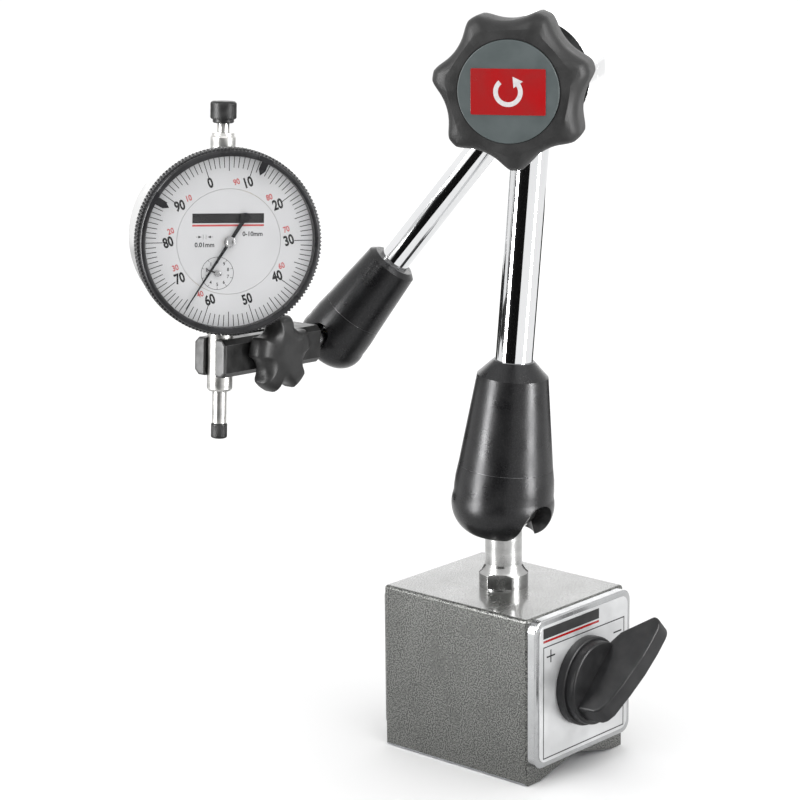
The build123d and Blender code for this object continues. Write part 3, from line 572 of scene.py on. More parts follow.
# ------------------------------------------------------------------------ base
def base_pieces():
    low = span("pole_block_left", base_seat)[0]
    high = span("pole_block_right", base_seat)[1]
    groove, foot_width = span("pole_spacer", base_seat)[0].z, 5.5
    outline = [(low.x, low.z), (low.x + foot_width, low.z), (0, groove), (high.x - foot_width, low.z),
               (high.x, low.z), (high.x, high.z), (low.x, high.z)]
    block = upright(outline, low.y, high.y)
    soften(block, 1.1, 4, where=lambda p: p.z > 8 or abs(p.x) > high.x - 0.1)
    soften(block, 0.25, 2, where=lambda p: p.z < 0.5 and abs(p.x) < high.x - 2)
    rotor_low, rotor_high = span("magnet_rotor", switch_seat)
    rotor_bore, back, front = 14.55, rotor_low.z - 2, rotor_high.z + 2
    bore = turned([(0, back), (rotor_bore, back), (rotor_bore, front), (0, front)])
    through = turned([(0, -40), (5.05, -40), (5.05, 40), (0, 40)])
    into_base = base_seat.inverted() @ switch_seat
    socket = turned([(0, high.z - 9), (4.05, high.z - 9), (4.05, high.z + 1), (0, high.z + 1)])
    block = joined(block, [moved(bore, into_base), moved(through, into_base), socket])
    for face in block.faces:
        middle = face.calc_center_median()
        if face.normal.z < -0.5 and middle.z < groove + 0.5:
            face.material_index = 1
    finish_piece(block, "hammered_base_block", base_seat, "hammer_paint", "base",
                 ("pole_block_left", "pole_block_right", "pole_spacer"), second="ground_steel")
    plate_low, plate_high = span("front_frame", base_seat)
    edge = 0.35
    outline = rounded_outline(plate_low.x + edge, plate_high.x - edge,
                              plate_low.z + edge, plate_high.z - edge, 3.8)
    plate = upright(outline, plate_low.y, plate_high.y)
    soften(plate, 0.55, 4, where=lambda p: p.y < plate_low.y + 0.1)
    hole = turned([(0, 20), (5.05, 20), (5.05, 50), (0, 50)])
    plate = joined(plate, [moved(hole, into_base)])
    finish_piece(plate, "satin_front_frame", base_seat, "frame_metal", "base", ("front_frame",))
    cover_low, cover_high = span("rear_cover", base_seat)
    outline = rounded_outline(cover_low.x + 1.2, cover_high.x - 1.2, cover_low.z, cover_high.z - 1.3, 3.0)
    cover = upright(outline, cover_low.y, cover_high.y)
    soften(cover, 0.4, 3, where=lambda p: p.y > cover_high.y - 0.1)
    finish_piece(cover, "painted_rear_cover", base_seat, "hammer_paint", "base", ("rear_cover",))

    label_low, label_high = span("front_label", base_seat)
    outline = rounded_outline(label_low.x, label_high.x, label_low.z, label_high.z, 3.0)
    label = upright(outline, label_low.y, label_high.y)
    soften(label, 0.1, 2, where=lambda p: p.y < label_low.y + 0.05)
    hole = turned([(0, 20), (5.05, 20), (5.05, 50), (0, 50)])
    label = joined(label, [moved(hole, into_base)])
    finish_piece(label, "printed_front_label", base_seat, "label_print", "base", ("front_label",))
    label_marks(label_low.y)


def flat_strips(strips, face, depth=0.025):
    """Thin printed strips (x0, x1, z0, z1) on a face that looks along -Y."""
    return gather([box_between((x0, face - depth, z0), (x1, face + 0.01, z1)) for x0, x1, z0, z1 in strips])


def label_marks(face):
    line, left, right, low, high = 0.36, -21.0, 21.0, 8.8, 46.0
    strips = [
        (left, right, low, low + line), (left, right, high - line, high),
        (left, left + line, low, high), (right - line, right, low, high),
        (-19.3, -15.1, 42.15, 42.65), (-17.45, -16.95, 40.3, 44.5), (15.3, 19.5, 41.45, 41.95),
    ]
    finish_piece(flat_strips(strips, face), "label_lines", base_seat, "dial_black", "base")
    finish_piece(flat_strips([(left, 7.5, 48.6, 52.0)], face), "label_bar", base_seat, "dial_black", "base")
    finish_piece(flat_strips([(left, 7.5, 47.3, 48.1)], face), "label_bar_line", base_seat, "badge_red", "base")


# ---------------------------------------------------------------------- switch
def switch_pieces():
    collar_low, collar_high = span("lever_collar", switch_seat)
    ring = turned([(5.0, collar_low.z), (collar_high.x, collar_low.z), (collar_high.x, collar_high.z),
                   (5.0, collar_high.z)], 128)
    soften(ring, 0.6, 4, where=lambda p: p.z > collar_low.z + 1 and p.xy.length > 10)
    finish_piece(ring, "switch_collar", switch_seat, "black_plastic", "switch", ("lever_collar",))
    lever_pieces(collar_high.z)


def lever_pieces(back):
    """The lever's disc and its tall tapering blade, drawn along local +X."""
    turn = Matrix.Rotation(radians(43.0), 4, "Z")
    front = back + 3.2
    disc = turned([(0, back), (13.5, back), (13.5, front), (0, front)], 128)
    soften(disc, 0.7, 4, where=lambda p: p.z > front - 0.1)
    tip, tail = 25.9, -12.0
    side = [(tail, front - 1.5), (13.0, front - 1.5), (17.5, front + 0.5), (tip, front + 9.0)]
    side += [(tip - 0.25, front + 10.4), (tip - 1.0, front + 11.5), (tip - 2.2, front + 12.2)]
    side.append((tip - 4.0, front + 12.5))
    side += [(16.0, front + 12.55), (8.0, front + 12.0), (0.0, front + 10.7), (tail + 4.0, front + 8.9)]
    side += [(tail + 1.6, front + 7.5), (tail + 0.6, front + 6.0)]
    blade = slab(side, -4.0, 4.0)
    moved(blade, Matrix.Rotation(pi / 2, 4, "X"))
    tidy(blade)
    for v in blade.verts:
        v.co.y *= 1.0 - 0.16 * max(0.0, (v.co.z - front) / 12.5)
    soften(blade, 0.7, 3, 20.0)
    bore = turned([(0, -40), (5.0, -40), (5.0, front - 0.5), (0, front - 0.5)], 64)
    lever = joined(disc, [blade], "UNION")
    lever = joined(lever, [bore])
    moved(lever, turn)
    finish_piece(lever, "switch_lever_grip", switch_seat, "black_plastic", "switch", ("switch_lever",), angle=30)


# ------------------------------------------------------------- stud, cups, arms
def stud_pieces():
    low, high = span("lower_ball_stud", stud_seat)
    ball = high.x
    centre = high.z - ball
    neck, collar, collar_top = 6.0, 8.0, low.z + 13.1
    block_top = low.z + 8.5
    start = degrees(-acos(neck / ball))
    profile = [(0, low.z), (4.0, low.z), (4.0, block_top), (collar, block_top), (collar, collar_top)]
    profile += [(7.1, collar_top + 0.9), (6.3, collar_top + 2.4), (neck, collar_top + 3.4)]
    profile += arc(0, centre, ball, start, 90, 28)
    stud = turned(profile, 128)
    flats = []
    for side in (-1, 1):
        flats.append(moved(box_between((7.0, -9, block_top + 0.4), (9, 9, collar_top + 0.7)),
                           Matrix.Diagonal((side, 1, 1, 1))))
    for flat in flats:
        tidy(flat)
    stud = joined(stud, flats)
    soften(stud, 0.18, 2, 32.0, where=lambda p: p.z < collar_top + 4)
    finish_piece(stud, "turned_ball_stud", stud_seat, "stud_steel", "lower_stud", ("lower_ball_stud",))
    refined("upper_ball_stud", "bare_steel", "upper_stud", width=0.2)


def ball_cup(name, node, place, finish, body, ball, outer, seam, lip_z, mouth, bottom, thread,
             slot_half, slot_top, slot_turn):
    inner = ball + 0.03
    lip = sqrt(inner ** 2 - lip_z ** 2)
    profile = [(thread, seam), (outer * 0.945, seam), (outer * 0.985, seam * 0.62), (outer, seam * 0.3)]
    profile.append((outer, seam * 0.1))
    bulge = ((outer + mouth) / 2 + outer * 0.13, bottom * 0.58)
    profile += wall_arc((outer, seam * 0.1), bulge, (mouth, bottom), 16)
    profile.append((lip, lip_z))
    profile += arc(0, 0, inner, degrees(asin(lip_z / inner)) + 2, 0, 12)
    profile += [(inner + 0.2, 0.3), (inner + 0.2, seam - 4.2), (thread, seam - 4.2)]
    cup = turned(profile, 128)
    outline = [(-slot_half, bottom - 1), (slot_half, bottom - 1), (slot_half, slot_top)]
    outline += arc(0, slot_top, slot_half, 7.5, 172.5, 22) + [(-slot_half, slot_top)]
    slot = upright(outline, 0, outer + 1)
    moved(slot, Matrix.Rotation(radians(slot_turn - 90), 4, "Z"))
    cup = joined(cup, [slot])
    # The rounded edges take the second, lighter finish: worn bare metal and a painted highlight.
    for face in soften(cup, 0.16, 2, 35.0):
        face.material_index = 1
    return finish_piece(cup, name, place, finish, body, (node,), "worn_and_highlit_edge")


def wall_arc(start, middle, end, count):
    """Points after the start on the circle through three (radius, height) points."""
    (ax, ay), (bx, by), (cx, cy) = start, middle, end
    d = 2 * (ax * (by - cy) + bx * (cy - ay) + cx * (ay - by))
    a2, b2, c2 = ax * ax + ay * ay, bx * bx + by * by, cx * cx + cy * cy
    centre = Vector(((a2 * (by - cy) + b2 * (cy - ay) + c2 * (ay - by)) / d,
                     (a2 * (cx - bx) + b2 * (ax - cx) + c2 * (bx - ax)) / d))
    first, last = Vector(start) - centre, Vector(end) - centre
    swing = first.angle_signed(last)
    points = []
    for i in range(1, count + 1):
        turn = Matrix.Rotation(-swing * i / count, 2)
        points.append(tuple(centre + turn @ first))
    return points


def arm_sleeve(name, node, place, finish, body, seam, seam_r, shoulder, shoulder_r, top, top_r,
               thread, room, bore):
    profile = [(thread, seam - 4.2), (thread, seam), (seam_r, seam), (shoulder_r, shoulder), (top_r, top)]
    profile += [(bore, top), (bore, seam + 7), (room, seam + 7), (room, seam - 4.2)]
    sleeve = turned(profile, 128)
    def outside(p):
        return p.xy.length > thread + 0.2 or p.z > shoulder + 0.5

    # The rounded edges take the second, lighter finish: worn bare metal and a painted highlight.
    for face in soften(sleeve, 0.16, 2, 20.0, where=outside):
        face.material_index = 1
    return finish_piece(sleeve, name, place, finish, body, (node,), "worn_and_highlit_edge")


def slot_bearing(place, direction):
    """Degrees from a seat's X axis to a direction across it."""
    local = place.to_3x3().inverted() @ direction
    return degrees(-Vector((1, 0)).angle_signed(local.xy))


def arm_pieces():
    slot_side = axis("lower_ball_spin").cross(axis("lower_ball_tilt"))
    ball_cup("lower_ball_cup", "lower_cup", lower_seat, "lower_oxide", "lower_socket",
             ball=12.0, outer=16.2, seam=10.2, lip_z=-7.45, mouth=10.9, bottom=-12.0, thread=14.0,
             slot_half=6.9, slot_top=-6.6, slot_turn=slot_bearing(lower_seat, slot_side))
    arm_sleeve("lower_arm_sleeve", "lower_sleeve", lower_seat, "lower_oxide", "lower_socket",
               seam=10.2, seam_r=15.3, shoulder=40.2, shoulder_r=11.45, top=45.2, top_r=6.5,
               thread=14.0, room=12.25, bore=6.05)
    ball_cup("upper_ball_cup", "upper_cup", upper_seat, "upper_oxide", "upper_arm",
             ball=7.5, outer=11.0, seam=10.3, lip_z=-4.8, mouth=6.9, bottom=-7.6, thread=8.8,
             slot_half=3.8, slot_top=0, slot_turn=slot_bearing(upper_seat, clamp_axis))
    arm_sleeve("upper_arm_sleeve", "upper_sleeve", upper_seat, "upper_oxide", "upper_arm",
               seam=10.3, seam_r=10.4, shoulder=31.5, shoulder_r=8.7, top=33.0, top_r=7.0,
               thread=8.8, room=7.75, bore=5.0)
    for node, place, body in (("lower_tube", lower_seat, "lower_arm"), ("upper_tube", upper_seat, "upper_arm")):
        low, high = span(node, place)
        wall = 1.5
        pipe = turned([(high.x - wall, low.z), (high.x, low.z), (high.x, high.z), (high.x - wall, high.z)], 128)
        soften(pipe, 0.15, 2)
        finish_piece(pipe, node + "_chromed", place, "chrome_plate", body, (node,))


# --------------------------------------------------------------- central joint
def housing(name, node, place, body, arm_seat, tube_radius):
    low, high = span(node, place)
    bore, outer = 6.7, 18.0
    drum = turned([(bore, low.z), (outer, low.z), (outer, high.z), (bore, high.z)], 160)
    into_drum = place.inverted() @ arm_seat
    start = into_drum.inverted() @ Vector((0, 0, (low.z + high.z) / 2))
    far, near = start.z - 40, start.z - 9
    socket = turned([(0, far), (tube_radius, far), (tube_radius, near), (0, near)], 64)
    drum = joined(drum, [moved(socket, into_drum)])
    soften(drum, 0.55, 3, 40.0)
    return finish_piece(drum, name, place, "chrome_plate", body, (node,))


def central_pieces():
    housing("lower_arm_drum", "lower_housing", knob_seat, "lower_arm", lower_seat, 6.0)
    housing("upper_arm_drum", "upper_housing", knob_seat, "upper_arm", upper_seat, 5.0)
    low, high = span("rear_cap", knob_seat)
    cap = turned([(4.0, low.z), (12.8, low.z), (12.8, high.z), (4.0, high.z)], 128)
    soften(cap, 1.1, 4, where=lambda p: p.z < low.z + 0.1 and p.xy.length > 8)
    finish_piece(cap, "chromed_rear_cap", knob_seat, "chrome_plate", "bolt", ("rear_cap",))
    low, high = span("thrust_collar", knob_seat)
    collar = turned([(6.7, low.z), (11.5, low.z), (11.5, high.z), (6.7, high.z)], 96)
    soften(collar, 0.3, 2)
    finish_piece(collar, "chromed_thrust_collar", knob_seat, "chrome_plate", "lower_arm", ("thrust_collar",))
    knob_pieces()


def knob_pieces():
    """The seven-lobed grip: front ring, crowned lobes, hub and bore."""
    back, hub_end = -20.0, span("star_knob", knob_seat)[0].z
    tip = 24.1
    crown = [(-1.4, 0, 1, 15.3), (-0.75, 0, 1, 15.35), (-0.6, 0, 1, 15.7), (-0.65, 0, 0.75, 17.2),
             (-0.95, 3.6, 0.3, 18.2), (-1.5, 2.6, 0.0, 18), (-2.4, 1.5, 0, 18), (-3.6, 0.7, 0, 18),
             (-5.0, 0.2, 0, 18), (-7.0, 0, 0, 18), (-13.0, 0, 0, 18), (-16.5, 0.1, 0, 18), (-18.4, 0.5, 0, 18),
             (-19.5, 1.4, 0, 18), (back, 2.8, 0, 18), (back - 0.1, 4.0, 0.6, 16.5)]
    hub = [(back - 0.5, 0, 1, 14.6), (back - 1.3, 0, 1, 14.0)]
    hub += [(hub_end + 0.4, 0, 1, 12.55), (hub_end, 0, 1, 12.2)]
    bore = [(hub_end, 0, 1, 8.0), (-14.0, 0, 1, 8.0), (-14.0, 0, 1, 9.5), (-11.0, 0, 1, 9.5), (-11.0, 0, 1, 8.0),
            (-8.0, 0, 1, 8.0), (-8.0, 0, 1, 4.5), (-4.0, 0, 1, 4.5)]
    grip = lobed(crown + hub + bore, tip, valley=20.4, bite=16.0, lobes=7, turn=41.8)
    finish_piece(grip, "moulded_star_grip", knob_seat, "moulded_black", "knob", ("star_knob",),
                 angle=50)
    low, high = span("knob_cap_disc", knob_seat)
    disc = turned([(0, low.z), (15.25, low.z), (15.25, high.z), (0, high.z)], 128)
    soften(disc, 0.3, 3, where=lambda p: p.z > high.z - 0.1)
    finish_piece(disc, "grey_cap_disc", knob_seat, "cap_grey", "knob", ("knob_cap_disc",))
    low, high = span("knob_badge", knob_seat)
    badge = slab(rounded_outline(low.x, high.x, low.y, high.y, 0.5), low.z, high.z)
    soften(badge, 0.06, 2, where=lambda p: p.z > high.z - 0.01)
    finish_piece(badge, "red_badge", knob_seat, "badge_red", "knob", ("knob_badge",))
    turning_arrow(high.z)


def turning_arrow(face):
    """A plain turn-to-lock sign: most of a ring with an arrow head at its end."""
    inner, outer, count = 3.0, 4.4, 30
    start, end = radians(-50), radians(215)
    angles = [start + (end - start) * i / count for i in range(count + 1)]
    outline = [(outer * cos(a), outer * sin(a)) for a in angles]
    outline += [(inner * cos(a), inner * sin(a)) for a in reversed(angles)]
    ring = slab(outline, face - 0.02, face + 0.04)
    middle, half = (inner + outer) / 2, 1.7
    root = Vector((middle * cos(end), middle * sin(end)))
    along, across = Vector((-sin(end), cos(end))), Vector((cos(end), sin(end)))
    head = [root + across * half, root + along * 2.9, root - across * half]
    arrow = slab([tuple(p) for p in head], face - 0.02, face + 0.04)
    finish_piece(gather([ring, arrow]), "badge_turning_arrow", knob_seat, "badge_white", "knob")


# ------------------------------------------------------------------- stem clamp
def clamp_pieces():
    low, high = span("stem_clamp", clamp_seat)
    cut = 1.6
    outline = [(high.y, high.z - cut), (high.y - cut, high.z), (low.y + cut, high.z), (low.y, high.z - cut),
               (low.y, low.z + cut), (low.y + cut, low.z), (high.y - cut, low.z), (high.y, low.z + cut)]
    bar = slab(outline, low.x, high.x)
    stand = Matrix(((0, 0, 1, 0), (1, 0, 0, 0), (0, 1, 0, 0), (0, 0, 0, 1)))
    moved(bar, stand)
    tidy(bar)
    reach = span("stem", clamp_seat)
    jaw = (reach[0].x + reach[1].x) / 2
    slit_start = low.x + 13.0
    soften(bar, 1.6, 1, 60.0, where=lambda p: p.x < low.x + 0.1)
    soften(bar, 0.9, 3, 40.0, where=lambda p: p.x > high.x - 0.1)
    slit = box_between((slit_start, -1.5, low.z - 1), (high.x + 1, 1.5, high.z + 1))
    mouth = box_between((high.x - 2.4, -2.5, low.z - 1), (high.x + 1, 2.5, high.z + 1))
    bore = turned([(0, low.z - 1), (4.03, low.z - 1), (4.03, high.z + 1), (0, high.z + 1)], 96)
    moved(bore, Matrix.Translation((jaw, 0, 0)))
    lie = Matrix.Rotation(pi / 2, 4, "Y")
    hole_r, hole_from, hole_to = 2.55, low.x - 1, low.x + 10.5
    stud_hole = turned([(0, hole_from), (hole_r, hole_from), (hole_r, hole_to), (0, hole_to)], 48)
    moved(stud_hole, lie)
    screw_hole = turned([(0, -8), (2.5, -8), (2.5, 8), (0, 8)], 48)
    moved(screw_hole, Matrix.Translation((screw_place, 0, 0)) @ Matrix.Rotation(pi / 2, 4, "X"))
    bar = joined(bar, [slit, mouth, bore, stud_hole, screw_hole])
    # The rounded edges take the lighter second finish as a painted highlight and worn bare metal; the ground jaw
    # ends below take it as bare metal.
    for face in soften(bar, 0.14, 2, 35.0):
        face.material_index = 1
    for face in bar.faces:
        if face.normal.x > 0.35 and face.calc_center_median().x > high.x - 1.4:
            face.material_index = 1
    finish_piece(bar, "stem_clamp_bar", clamp_seat, "clamp_black", "clamp", ("stem_clamp",),
                 "clamp_bare_and_highlit")
    refined("clamp_screw", "bare_steel", "clamp", width=0.1)
    grip_low, grip_high = span("clamp_knob", grip_seat)
    back, front = grip_low.z, grip_high.z
    rim = [(back, 2.2, 0, 8), (back + 0.25, 1.0, 0, 8), (back + 0.9, 0.3, 0, 8), (back + 1.8, 0, 0, 8),
           (front - 3.0, 0, 0, 8), (front - 2.0, 0.25, 0, 8), (front - 1.1, 0.9, 0, 8), (front - 0.5, 1.8, 0, 8),
           (front - 0.15, 3.2, 0.1, 7.5), (front, 4.6, 0.4, 6.0)]
    bore = [(back, 0, 1, 2.55)]
    floor = [(front - 1.0, 0, 1, 2.55)]
    grip = lobed(floor + bore + rim, tip=12.4, valley=9.4, bite=5.4, lobes=5, turn=200.0, count=32)
    finish_piece(grip, "five_lobe_grip", grip_seat, "smooth_grip", "clamp_grip", ("clamp_knob",),
                 angle=50)


# --------------------------------------------------------------- dial indicator
def knurl(profile, low, high, depth, teeth, cross, steps=4):
    """A turned piece whose outer wall, between two heights, is knurled."""
    bm = turned(profile, teeth * steps)
    radius = max(r for r, z in profile)
    for v in bm.verts:
        r = v.co.xy.length
        if r < radius - 0.02 or not low - 1e-4 <= v.co.z <= high + 1e-4:
            continue
        angle = Vector((1, 0)).angle_signed(v.co.xy, 0.0)
        swing = v.co.z * cross
        ridge = max(abs(cos(teeth * angle / 2 + swing)), abs(cos(teeth * angle / 2 - swing)))
        shrink = 1 - depth * (1 - ridge ** 2) / radius
        v.co.x *= shrink
        v.co.y *= shrink
    return bm


def bezel_pieces():
    low, high = span("bezel", dial_seat)
    outer, inner, foot = 29.0, 26.4, 26.06
    ledge = span("dial_ring", dial_seat)[0].z
    band_low, band_high = low.z + 0.5, high.z - 1.6
    rings = 7
    wall = [(outer, band_low + (band_high - band_low) * i / rings) for i in range(rings + 1)]
    profile = [(foot, low.z), (outer - 0.5, low.z), (outer - 0.45, low.z + 0.35)] + wall
    profile += [(outer - 0.75, band_high + 0.15), (outer - 0.75, high.z - 0.9), (outer - 0.9, high.z - 0.4),
                (outer - 1.2, high.z - 0.1), (outer - 1.4, high.z), (inner + 0.45, high.z),
                (inner + 0.15, high.z - 0.1), (inner, high.z - 0.4), (inner, ledge), (foot, ledge)]
    ring = knurl(profile, band_low - 0.1, band_high + 0.1, 0.7, 150, 0.52)
    finish_piece(ring, "knurled_bezel", dial_seat, "bezel_black", "bezel_ring", ("bezel",), angle=40)
    low, high = span("crystal", dial_seat)
    glass = turned([(0, low.z), (26.4, low.z), (26.4, high.z), (0, high.z)], 128)
    soften(glass, 0.2, 2)
    finish_piece(glass, "clear_crystal", dial_seat, "crystal_clear", "bezel_ring", ("crystal",))
    for node, body in (("limit_marker_high", "marker_high"), ("limit_marker_low", "marker_low")):
        refined(node, "pointer_black", body, width=0.12)


TICK, TICK_END = 0.12, 26.3    # half a tick's width, and where it ends
SCALE_TURN = radians(18.5)     # the scale ring is set back a little, as at rest
FACE = 10.2                    # height of the dial's face in its seat


def on_ring(radius, parts_of_100):
    """A place on the scale ring, clockwise from its zero, in its own frame."""
    angle = pi / 2 - 2 * pi * parts_of_100 / 100
    return radius * cos(angle), radius * sin(angle), angle


def ring_print():
    turn = Matrix.Rotation(SCALE_TURN, 4, "Z")
    ticks = []
    for i in range(100):
        inner = 20.6 if i % 10 == 0 else 21.7 if i % 5 == 0 else 22.7
        tick = box_between((inner, -TICK, -PRINT), (TICK_END, TICK, PRINT))
        ticks.append(moved(tick, Matrix.Rotation(pi / 2 - 2 * pi * i / 100, 4, "Z")))
    marks = lifted(moved(gather(ticks), turn), FACE)
    finish_piece(marks, "scale_ticks", dial_seat, "dial_black", "bezel_ring")
    figures, reverse = [], []
    for ten in range(10):
        x, y, angle = on_ring(18.9, ten * 10)
        figures.append(lettering(str(ten * 10), 4.3, x, y, 0.0, 0.74, 0.16))
        if ten not in (0, 5):
            shift = -3.0 if ten < 5 else 3.0
            x, y, angle = on_ring(18.4, ten * 10 + shift)
            reverse.append(lettering(str(100 - ten * 10), 2.5, x, y, 0.0, 0.80, 0.06))
    for drawn, name, finish in ((figures, "scale_figures", "dial_black"), (reverse, "reverse_figures", "dial_red")):
        whole = lifted(moved(gather(drawn), turn), FACE)
        finish_piece(whole, name, dial_seat, finish, "bezel_ring")


def flat_ring(inner, outer, height=PRINT, steps=96):
    return turned([(inner, -height), (outer, -height), (outer, height), (inner, height)], steps)


def face_print():
    """What is printed on the fixed middle of the dial."""
    parts = [box_between((-11.5, 5.7, -PRINT), (10.9, 8.7, PRINT))]
    parts.append(lettering("0.01mm", 2.0, -7.6, -1.0, 0, 0.95, 0.05))
    parts.append(lettering("0-10mm", 2.0, 7.4, 2.3, 0, 0.95, 0.05))
    for side in (-1, 1):
        centre = -7.6 + side * 0.45
        parts.append(box_between((centre - 0.05, 0.8, -PRINT), (centre + 0.05, 2.2, PRINT)))
        tail, nose = sorted((centre + side * 0.5, centre + side * 2.2))
        parts.append(box_between((tail, 1.45, -PRINT), (nose, 1.55, PRINT)))
        arrow = [(centre + side * 0.5, 1.5), (centre + side * 1.5, 1.1), (centre + side * 1.5, 1.9)]
        parts.append(slab(arrow, -PRINT, PRINT))
    cx, cy = counter_centre.x, counter_centre.y
    rim = 5.1
    parts.append(moved(flat_ring(rim - 0.14, rim), Matrix.Translation((cx, cy, 0))))
    for i in range(10):
        angle = pi / 2 + 2 * pi * i / 10
        spot = Matrix.Translation((cx, cy, 0)) @ Matrix.Rotation(angle, 4, "Z")
        parts.append(moved(box_between((rim - 0.8, -0.06, -PRINT), (rim, 0.06, PRINT)), spot))
        parts.append(lettering(str(i), 1.5, cx + 3.5 * cos(angle), cy + 3.5 * sin(angle), 0, 0.9, 0.03))
    finish_piece(lifted(gather(parts), FACE), "face_figures", dial_seat, "dial_black", "indicator")
    stripe = lifted(box_between((-11.5, 4.7, -PRINT), (10.9, 5.3, PRINT)), FACE)
    finish_piece(stripe, "face_red_line", dial_seat, "dial_red", "indicator")


counter_centre = dial_seat.inverted() @ point("counter_turn")


def pointer_hub(name, radius, low, high, centre, body):
    dimple = high - 0.06
    hub = turned([(0, low), (radius, low), (radius, high), (radius * 0.55, high), (radius * 0.5, dimple),
                  (0, dimple)], 64)
    soften(hub, 0.06, 2)
    moved(hub, Matrix.Translation((centre.x, centre.y, 0)))
    finish_piece(hub, name, dial_seat, "bare_steel", body)


def knurled_cap(name, node, radius, low, high, body, bore, teeth, dome):
    """A small knurled black cap on the spindle, with rounded end edges."""
    rings = 9
    edge = 0.55
    wall = [(radius, low + edge + (high - low - 2 * edge) * i / rings) for i in range(rings + 1)]
    profile = [(0, low), (radius * 0.55, low), (radius - edge, low + dome)]
    profile.append((radius - edge * 0.3, low + edge * 0.6))
    profile += wall + [(radius - edge * 0.3, high - edge * 0.45), (radius - edge, high)]
    profile += [(bore, high), (bore, low + 2.0), (0, low + 2.0)]
    cap = knurl(profile, low + edge, high - edge, 0.16, teeth, 1.9, 4)
    finish_piece(cap, name, stem_seat, "knurled_black", body, (node,), angle=40)


def indicator_pieces():
    refined("indicator_case", "case_silver", "indicator", width=0.25)
    refined("back_cover", "case_silver", "indicator", width=0.3)
    refined("back_cover_screws", "bare_steel", "indicator")
    refined("dial_ring", "dial_white", "bezel_ring")
    refined("inner_dial", "dial_white", "indicator")
    low, high = span("stem", stem_seat)
    stem = turned([(2.3, low.z), (3.5, low.z), (4.0, low.z + 0.7), (4.0, high.z), (2.3, high.z)], 96)
    soften(stem, 0.12, 2)
    finish_piece(stem, "turned_stem", stem_seat, "stem_steel", "indicator", ("stem",))
    low, high = span("upper_bush", stem_seat)
    bush = turned([(1.95, low.z), (3.2, low.z), (3.2, 27.5), (3.9, 27.5), (3.9, 31.2), (3.5, 31.6), (3.4, high.z),
                   (1.95, high.z)], 96)
    soften(bush, 0.12, 2)
    finish_piece(bush, "turned_upper_bush", stem_seat, "stem_steel", "indicator", ("upper_bush",))
    refined("spindle", "stem_steel", "plunger", 0.06)
    low, high = span("contact_point", stem_seat)
    knurled_cap("knurled_contact_point", "contact_point", high.x, low.z, high.z, "plunger", 1.25, 26, 0.12)
    low, high = span("lifting_knob", stem_seat)
    lifting_knob(low.z, high.z)
    refined("main_pointer", "pointer_black", "centre_train")
    refined("counter_pointer", "pointer_black", "counter_train")
    top = span("main_pointer", dial_seat)[1].z
    pointer_hub("main_pointer_hub", 1.7, top - 0.02, top + 0.22, Vector((0, 0, 0)), "centre_train")
    top = span("counter_pointer", dial_seat)[1].z
    pointer_hub("counter_pointer_hub", 0.95, top - 0.02, top + 0.1, counter_centre, "counter_train")


def lifting_knob(low, high):
    radius, neck, flange = 4.05, 3.3, low + 1.2
    rings = 8
    wall = [(radius, flange + 0.5 + (high - flange - 1.1) * i / rings) for i in range(rings + 1)]
    profile = [(1.9, low), (neck - 0.3, low), (neck, low + 0.3), (neck, flange), (radius - 0.35, flange),
               (radius - 0.1, flange + 0.25)] + wall
    profile += [(radius - 0.2, high - 0.3), (radius - 0.6, high), (0, high), (0, low + 1.4), (1.9, low + 1.4)]
    cap = knurl(profile, flange + 0.5, high - 0.6, 0.16, 40, 1.9, 4)
    finish_piece(cap, "knurled_lifting_knob", stem_seat, "knurled_black", "plunger", ("lifting_knob",), angle=40)


# ---------------------------------------------------------------- inner pieces
CARRIED = {
    "bare_steel": ("front_frame_screws", "switch_shaft", "clamp_bolt", "knob_insert", "lower_push_rod",
                   "upper_push_rod", "return_spring", "hairspring", "counter_gear"),
    "rotor_iron": ("magnet_rotor",),
    "magnet_black": ("rotor_magnet",),
    "movement_brass": ("lower_ball_seat", "upper_ball_seat", "movement_plate", "rear_bridge", "dial_plate",
                       "centre_pinion", "take_up_gear"),
}


def carried_nodes():
    for finish, names in CARRIED.items():
        for name in names:
            materials = frame["nodes"][name].data.materials
            materials.clear()
            materials.append(FINISHES[finish])


base_pieces()
switch_pieces()
stud_pieces()
arm_pieces()
central_pieces()
clamp_pieces()
bezel_pieces()
ring_print()
face_print()
indicator_pieces()
carried_nodes()


# ------------------------------------------------------------------- the studio
VIEW_AZIMUTH, VIEW_ELEVATION, VIEW_ROLL = radians(-48.24), radians(13.24), radians(-0.6)
VIEW_DISTANCE, AIM_RIGHT, AIM_UP, LENS = 0.8325, -0.0331, 0.1171, 117.0

view_right = Vector((cos(VIEW_AZIMUTH), sin(VIEW_AZIMUTH), 0))
view_back = Vector((sin(VIEW_AZIMUTH) * cos(VIEW_ELEVATION), -cos(VIEW_AZIMUTH) * cos(VIEW_ELEVATION),
                    sin(VIEW_ELEVATION)))
view_up = view_back.cross(view_right)
aim = view_right * AIM_RIGHT + UP * AIM_UP


def camera():
    lens = bpy.data.cameras.new("camera")
    lens.lens, lens.sensor_width = LENS, 36.0
    eye = bpy.data.objects.new("camera", lens)
    right = view_right * cos(VIEW_ROLL) + view_up * sin(VIEW_ROLL)
    up = view_up * cos(VIEW_ROLL) - view_right * sin(VIEW_ROLL)
    turn = Matrix((right, up, view_back)).transposed().to_4x4()
    eye.matrix_world = Matrix.Translation(aim + view_back * VIEW_DISTANCE) @ turn
    bpy.context.scene.collection.objects.link(eye)
    bpy.context.scene.camera = eye


def studio_finish(name, colour):
    material = bpy.data.materials.new(name)
    material.use_nodes = True
    shader = material.node_tree.nodes["Principled BSDF"]
    shader.inputs["Base Color"].default_value = (*colour, 1)
    shader.inputs["Roughness"].default_value = 0.9
    shader.inputs["Specular IOR Level"].default_value = 0.1
    return material


def stage_panel(name, size, place, material):
    bm = bmesh.new()
    bmesh.ops.create_grid(bm, x_segments=1, y_segments=1, size=0.5)
    moved(bm, place @ Matrix.Diagonal((*size, 1, 1)))
    panel = as_object(bm, name)
    panel.data.materials.append(material)
    return panel


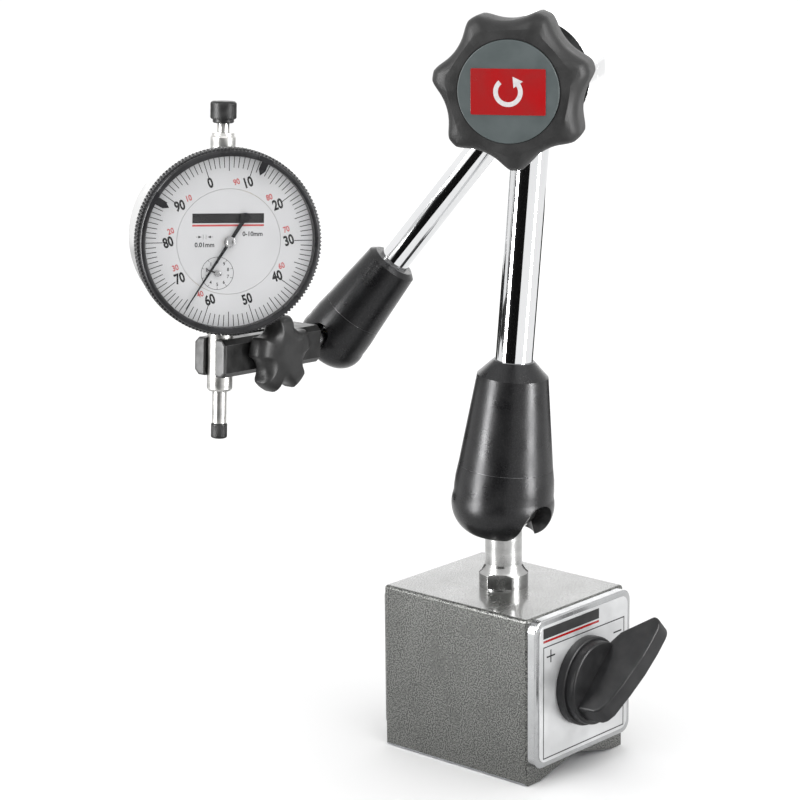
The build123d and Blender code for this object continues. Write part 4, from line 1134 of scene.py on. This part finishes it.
def around(bearing, distance, height):
    """A place round the object; bearing 0 is the viewer's side, + its right."""
    flat = Vector((view_back.x, view_back.y, 0)).normalized()
    side = flat * cos(radians(bearing)) + view_right * sin(radians(bearing))
    return Vector((0, 0, height)) + side * distance, side


def dark_card(name, bearing, distance, width, low, high):
    """A black card that only mirror-like surfaces see."""
    spot, side = around(bearing, distance, (low + high) / 2)
    across = UP.cross(side).normalized()
    turn = Matrix((across, UP, side)).transposed().to_4x4()
    place = Matrix.Translation(spot) @ turn
    card = stage_panel(name, (width, high - low), place, studio_finish(name, (0, 0, 0)))
    card.visible_camera = False
    card.visible_diffuse = False
    card.visible_shadow = False
    return card


def softbox(name, bearing, distance, height, size, power, aim_height=0.12, diffuse=True):
    spot = around(bearing, distance, height)[0]
    light = bpy.data.lights.new(name, "AREA")
    light.shape, light.size, light.size_y, light.energy = "RECTANGLE", size[0], size[1], power
    lamp = bpy.data.objects.new(name, light)
    back = (spot - Vector((0, 0, aim_height))).normalized()
    right = UP.cross(back).normalized() if abs(back.z) < 0.99 else RIGHT
    turn = Matrix((right, back.cross(right), back)).transposed().to_4x4()
    lamp.matrix_world = Matrix.Translation(spot) @ turn
    lamp.visible_diffuse = diffuse
    bpy.context.scene.collection.objects.link(lamp)


def studio():
    floor = Matrix.Translation((0, 0, -0.0002))
    stage_panel("floor", (8.0, 8.0), floor, studio_finish("floor_white", (0.86, 0.86, 0.86)))
    world = bpy.data.worlds.new("studio")
    world.use_nodes = True
    bpy.context.scene.world = world
    world.node_tree.nodes["Background"].inputs["Color"].default_value = (1, 1, 1, 1)
    world.node_tree.nodes["Background"].inputs["Strength"].default_value = 1.18
    bpy.context.scene.view_settings.view_transform = "Standard"
    softbox("strip_left", -66, 0.42, 0.30, (0.10, 0.60), 6.0, 0.30, False)
    softbox("strip_right", 60, 0.42, 0.30, (0.08, 0.60), 6.0, 0.30, False)
    softbox("back", 180, 1.5, 0.42, (1.5, 0.5), 2.6, 0.2)
    softbox("top", 20, 0.5, 1.1, (0.7, 0.7), 2.0)
    dark_card("card_front", -27, 0.36, 0.42, -0.0001, 0.24)
    dark_card("card_right", 148, 0.42, 0.22, -0.0001, 0.10)
    dark_card("card_left", -146, 0.42, 0.22, -0.0001, 0.10)


camera()
studio()
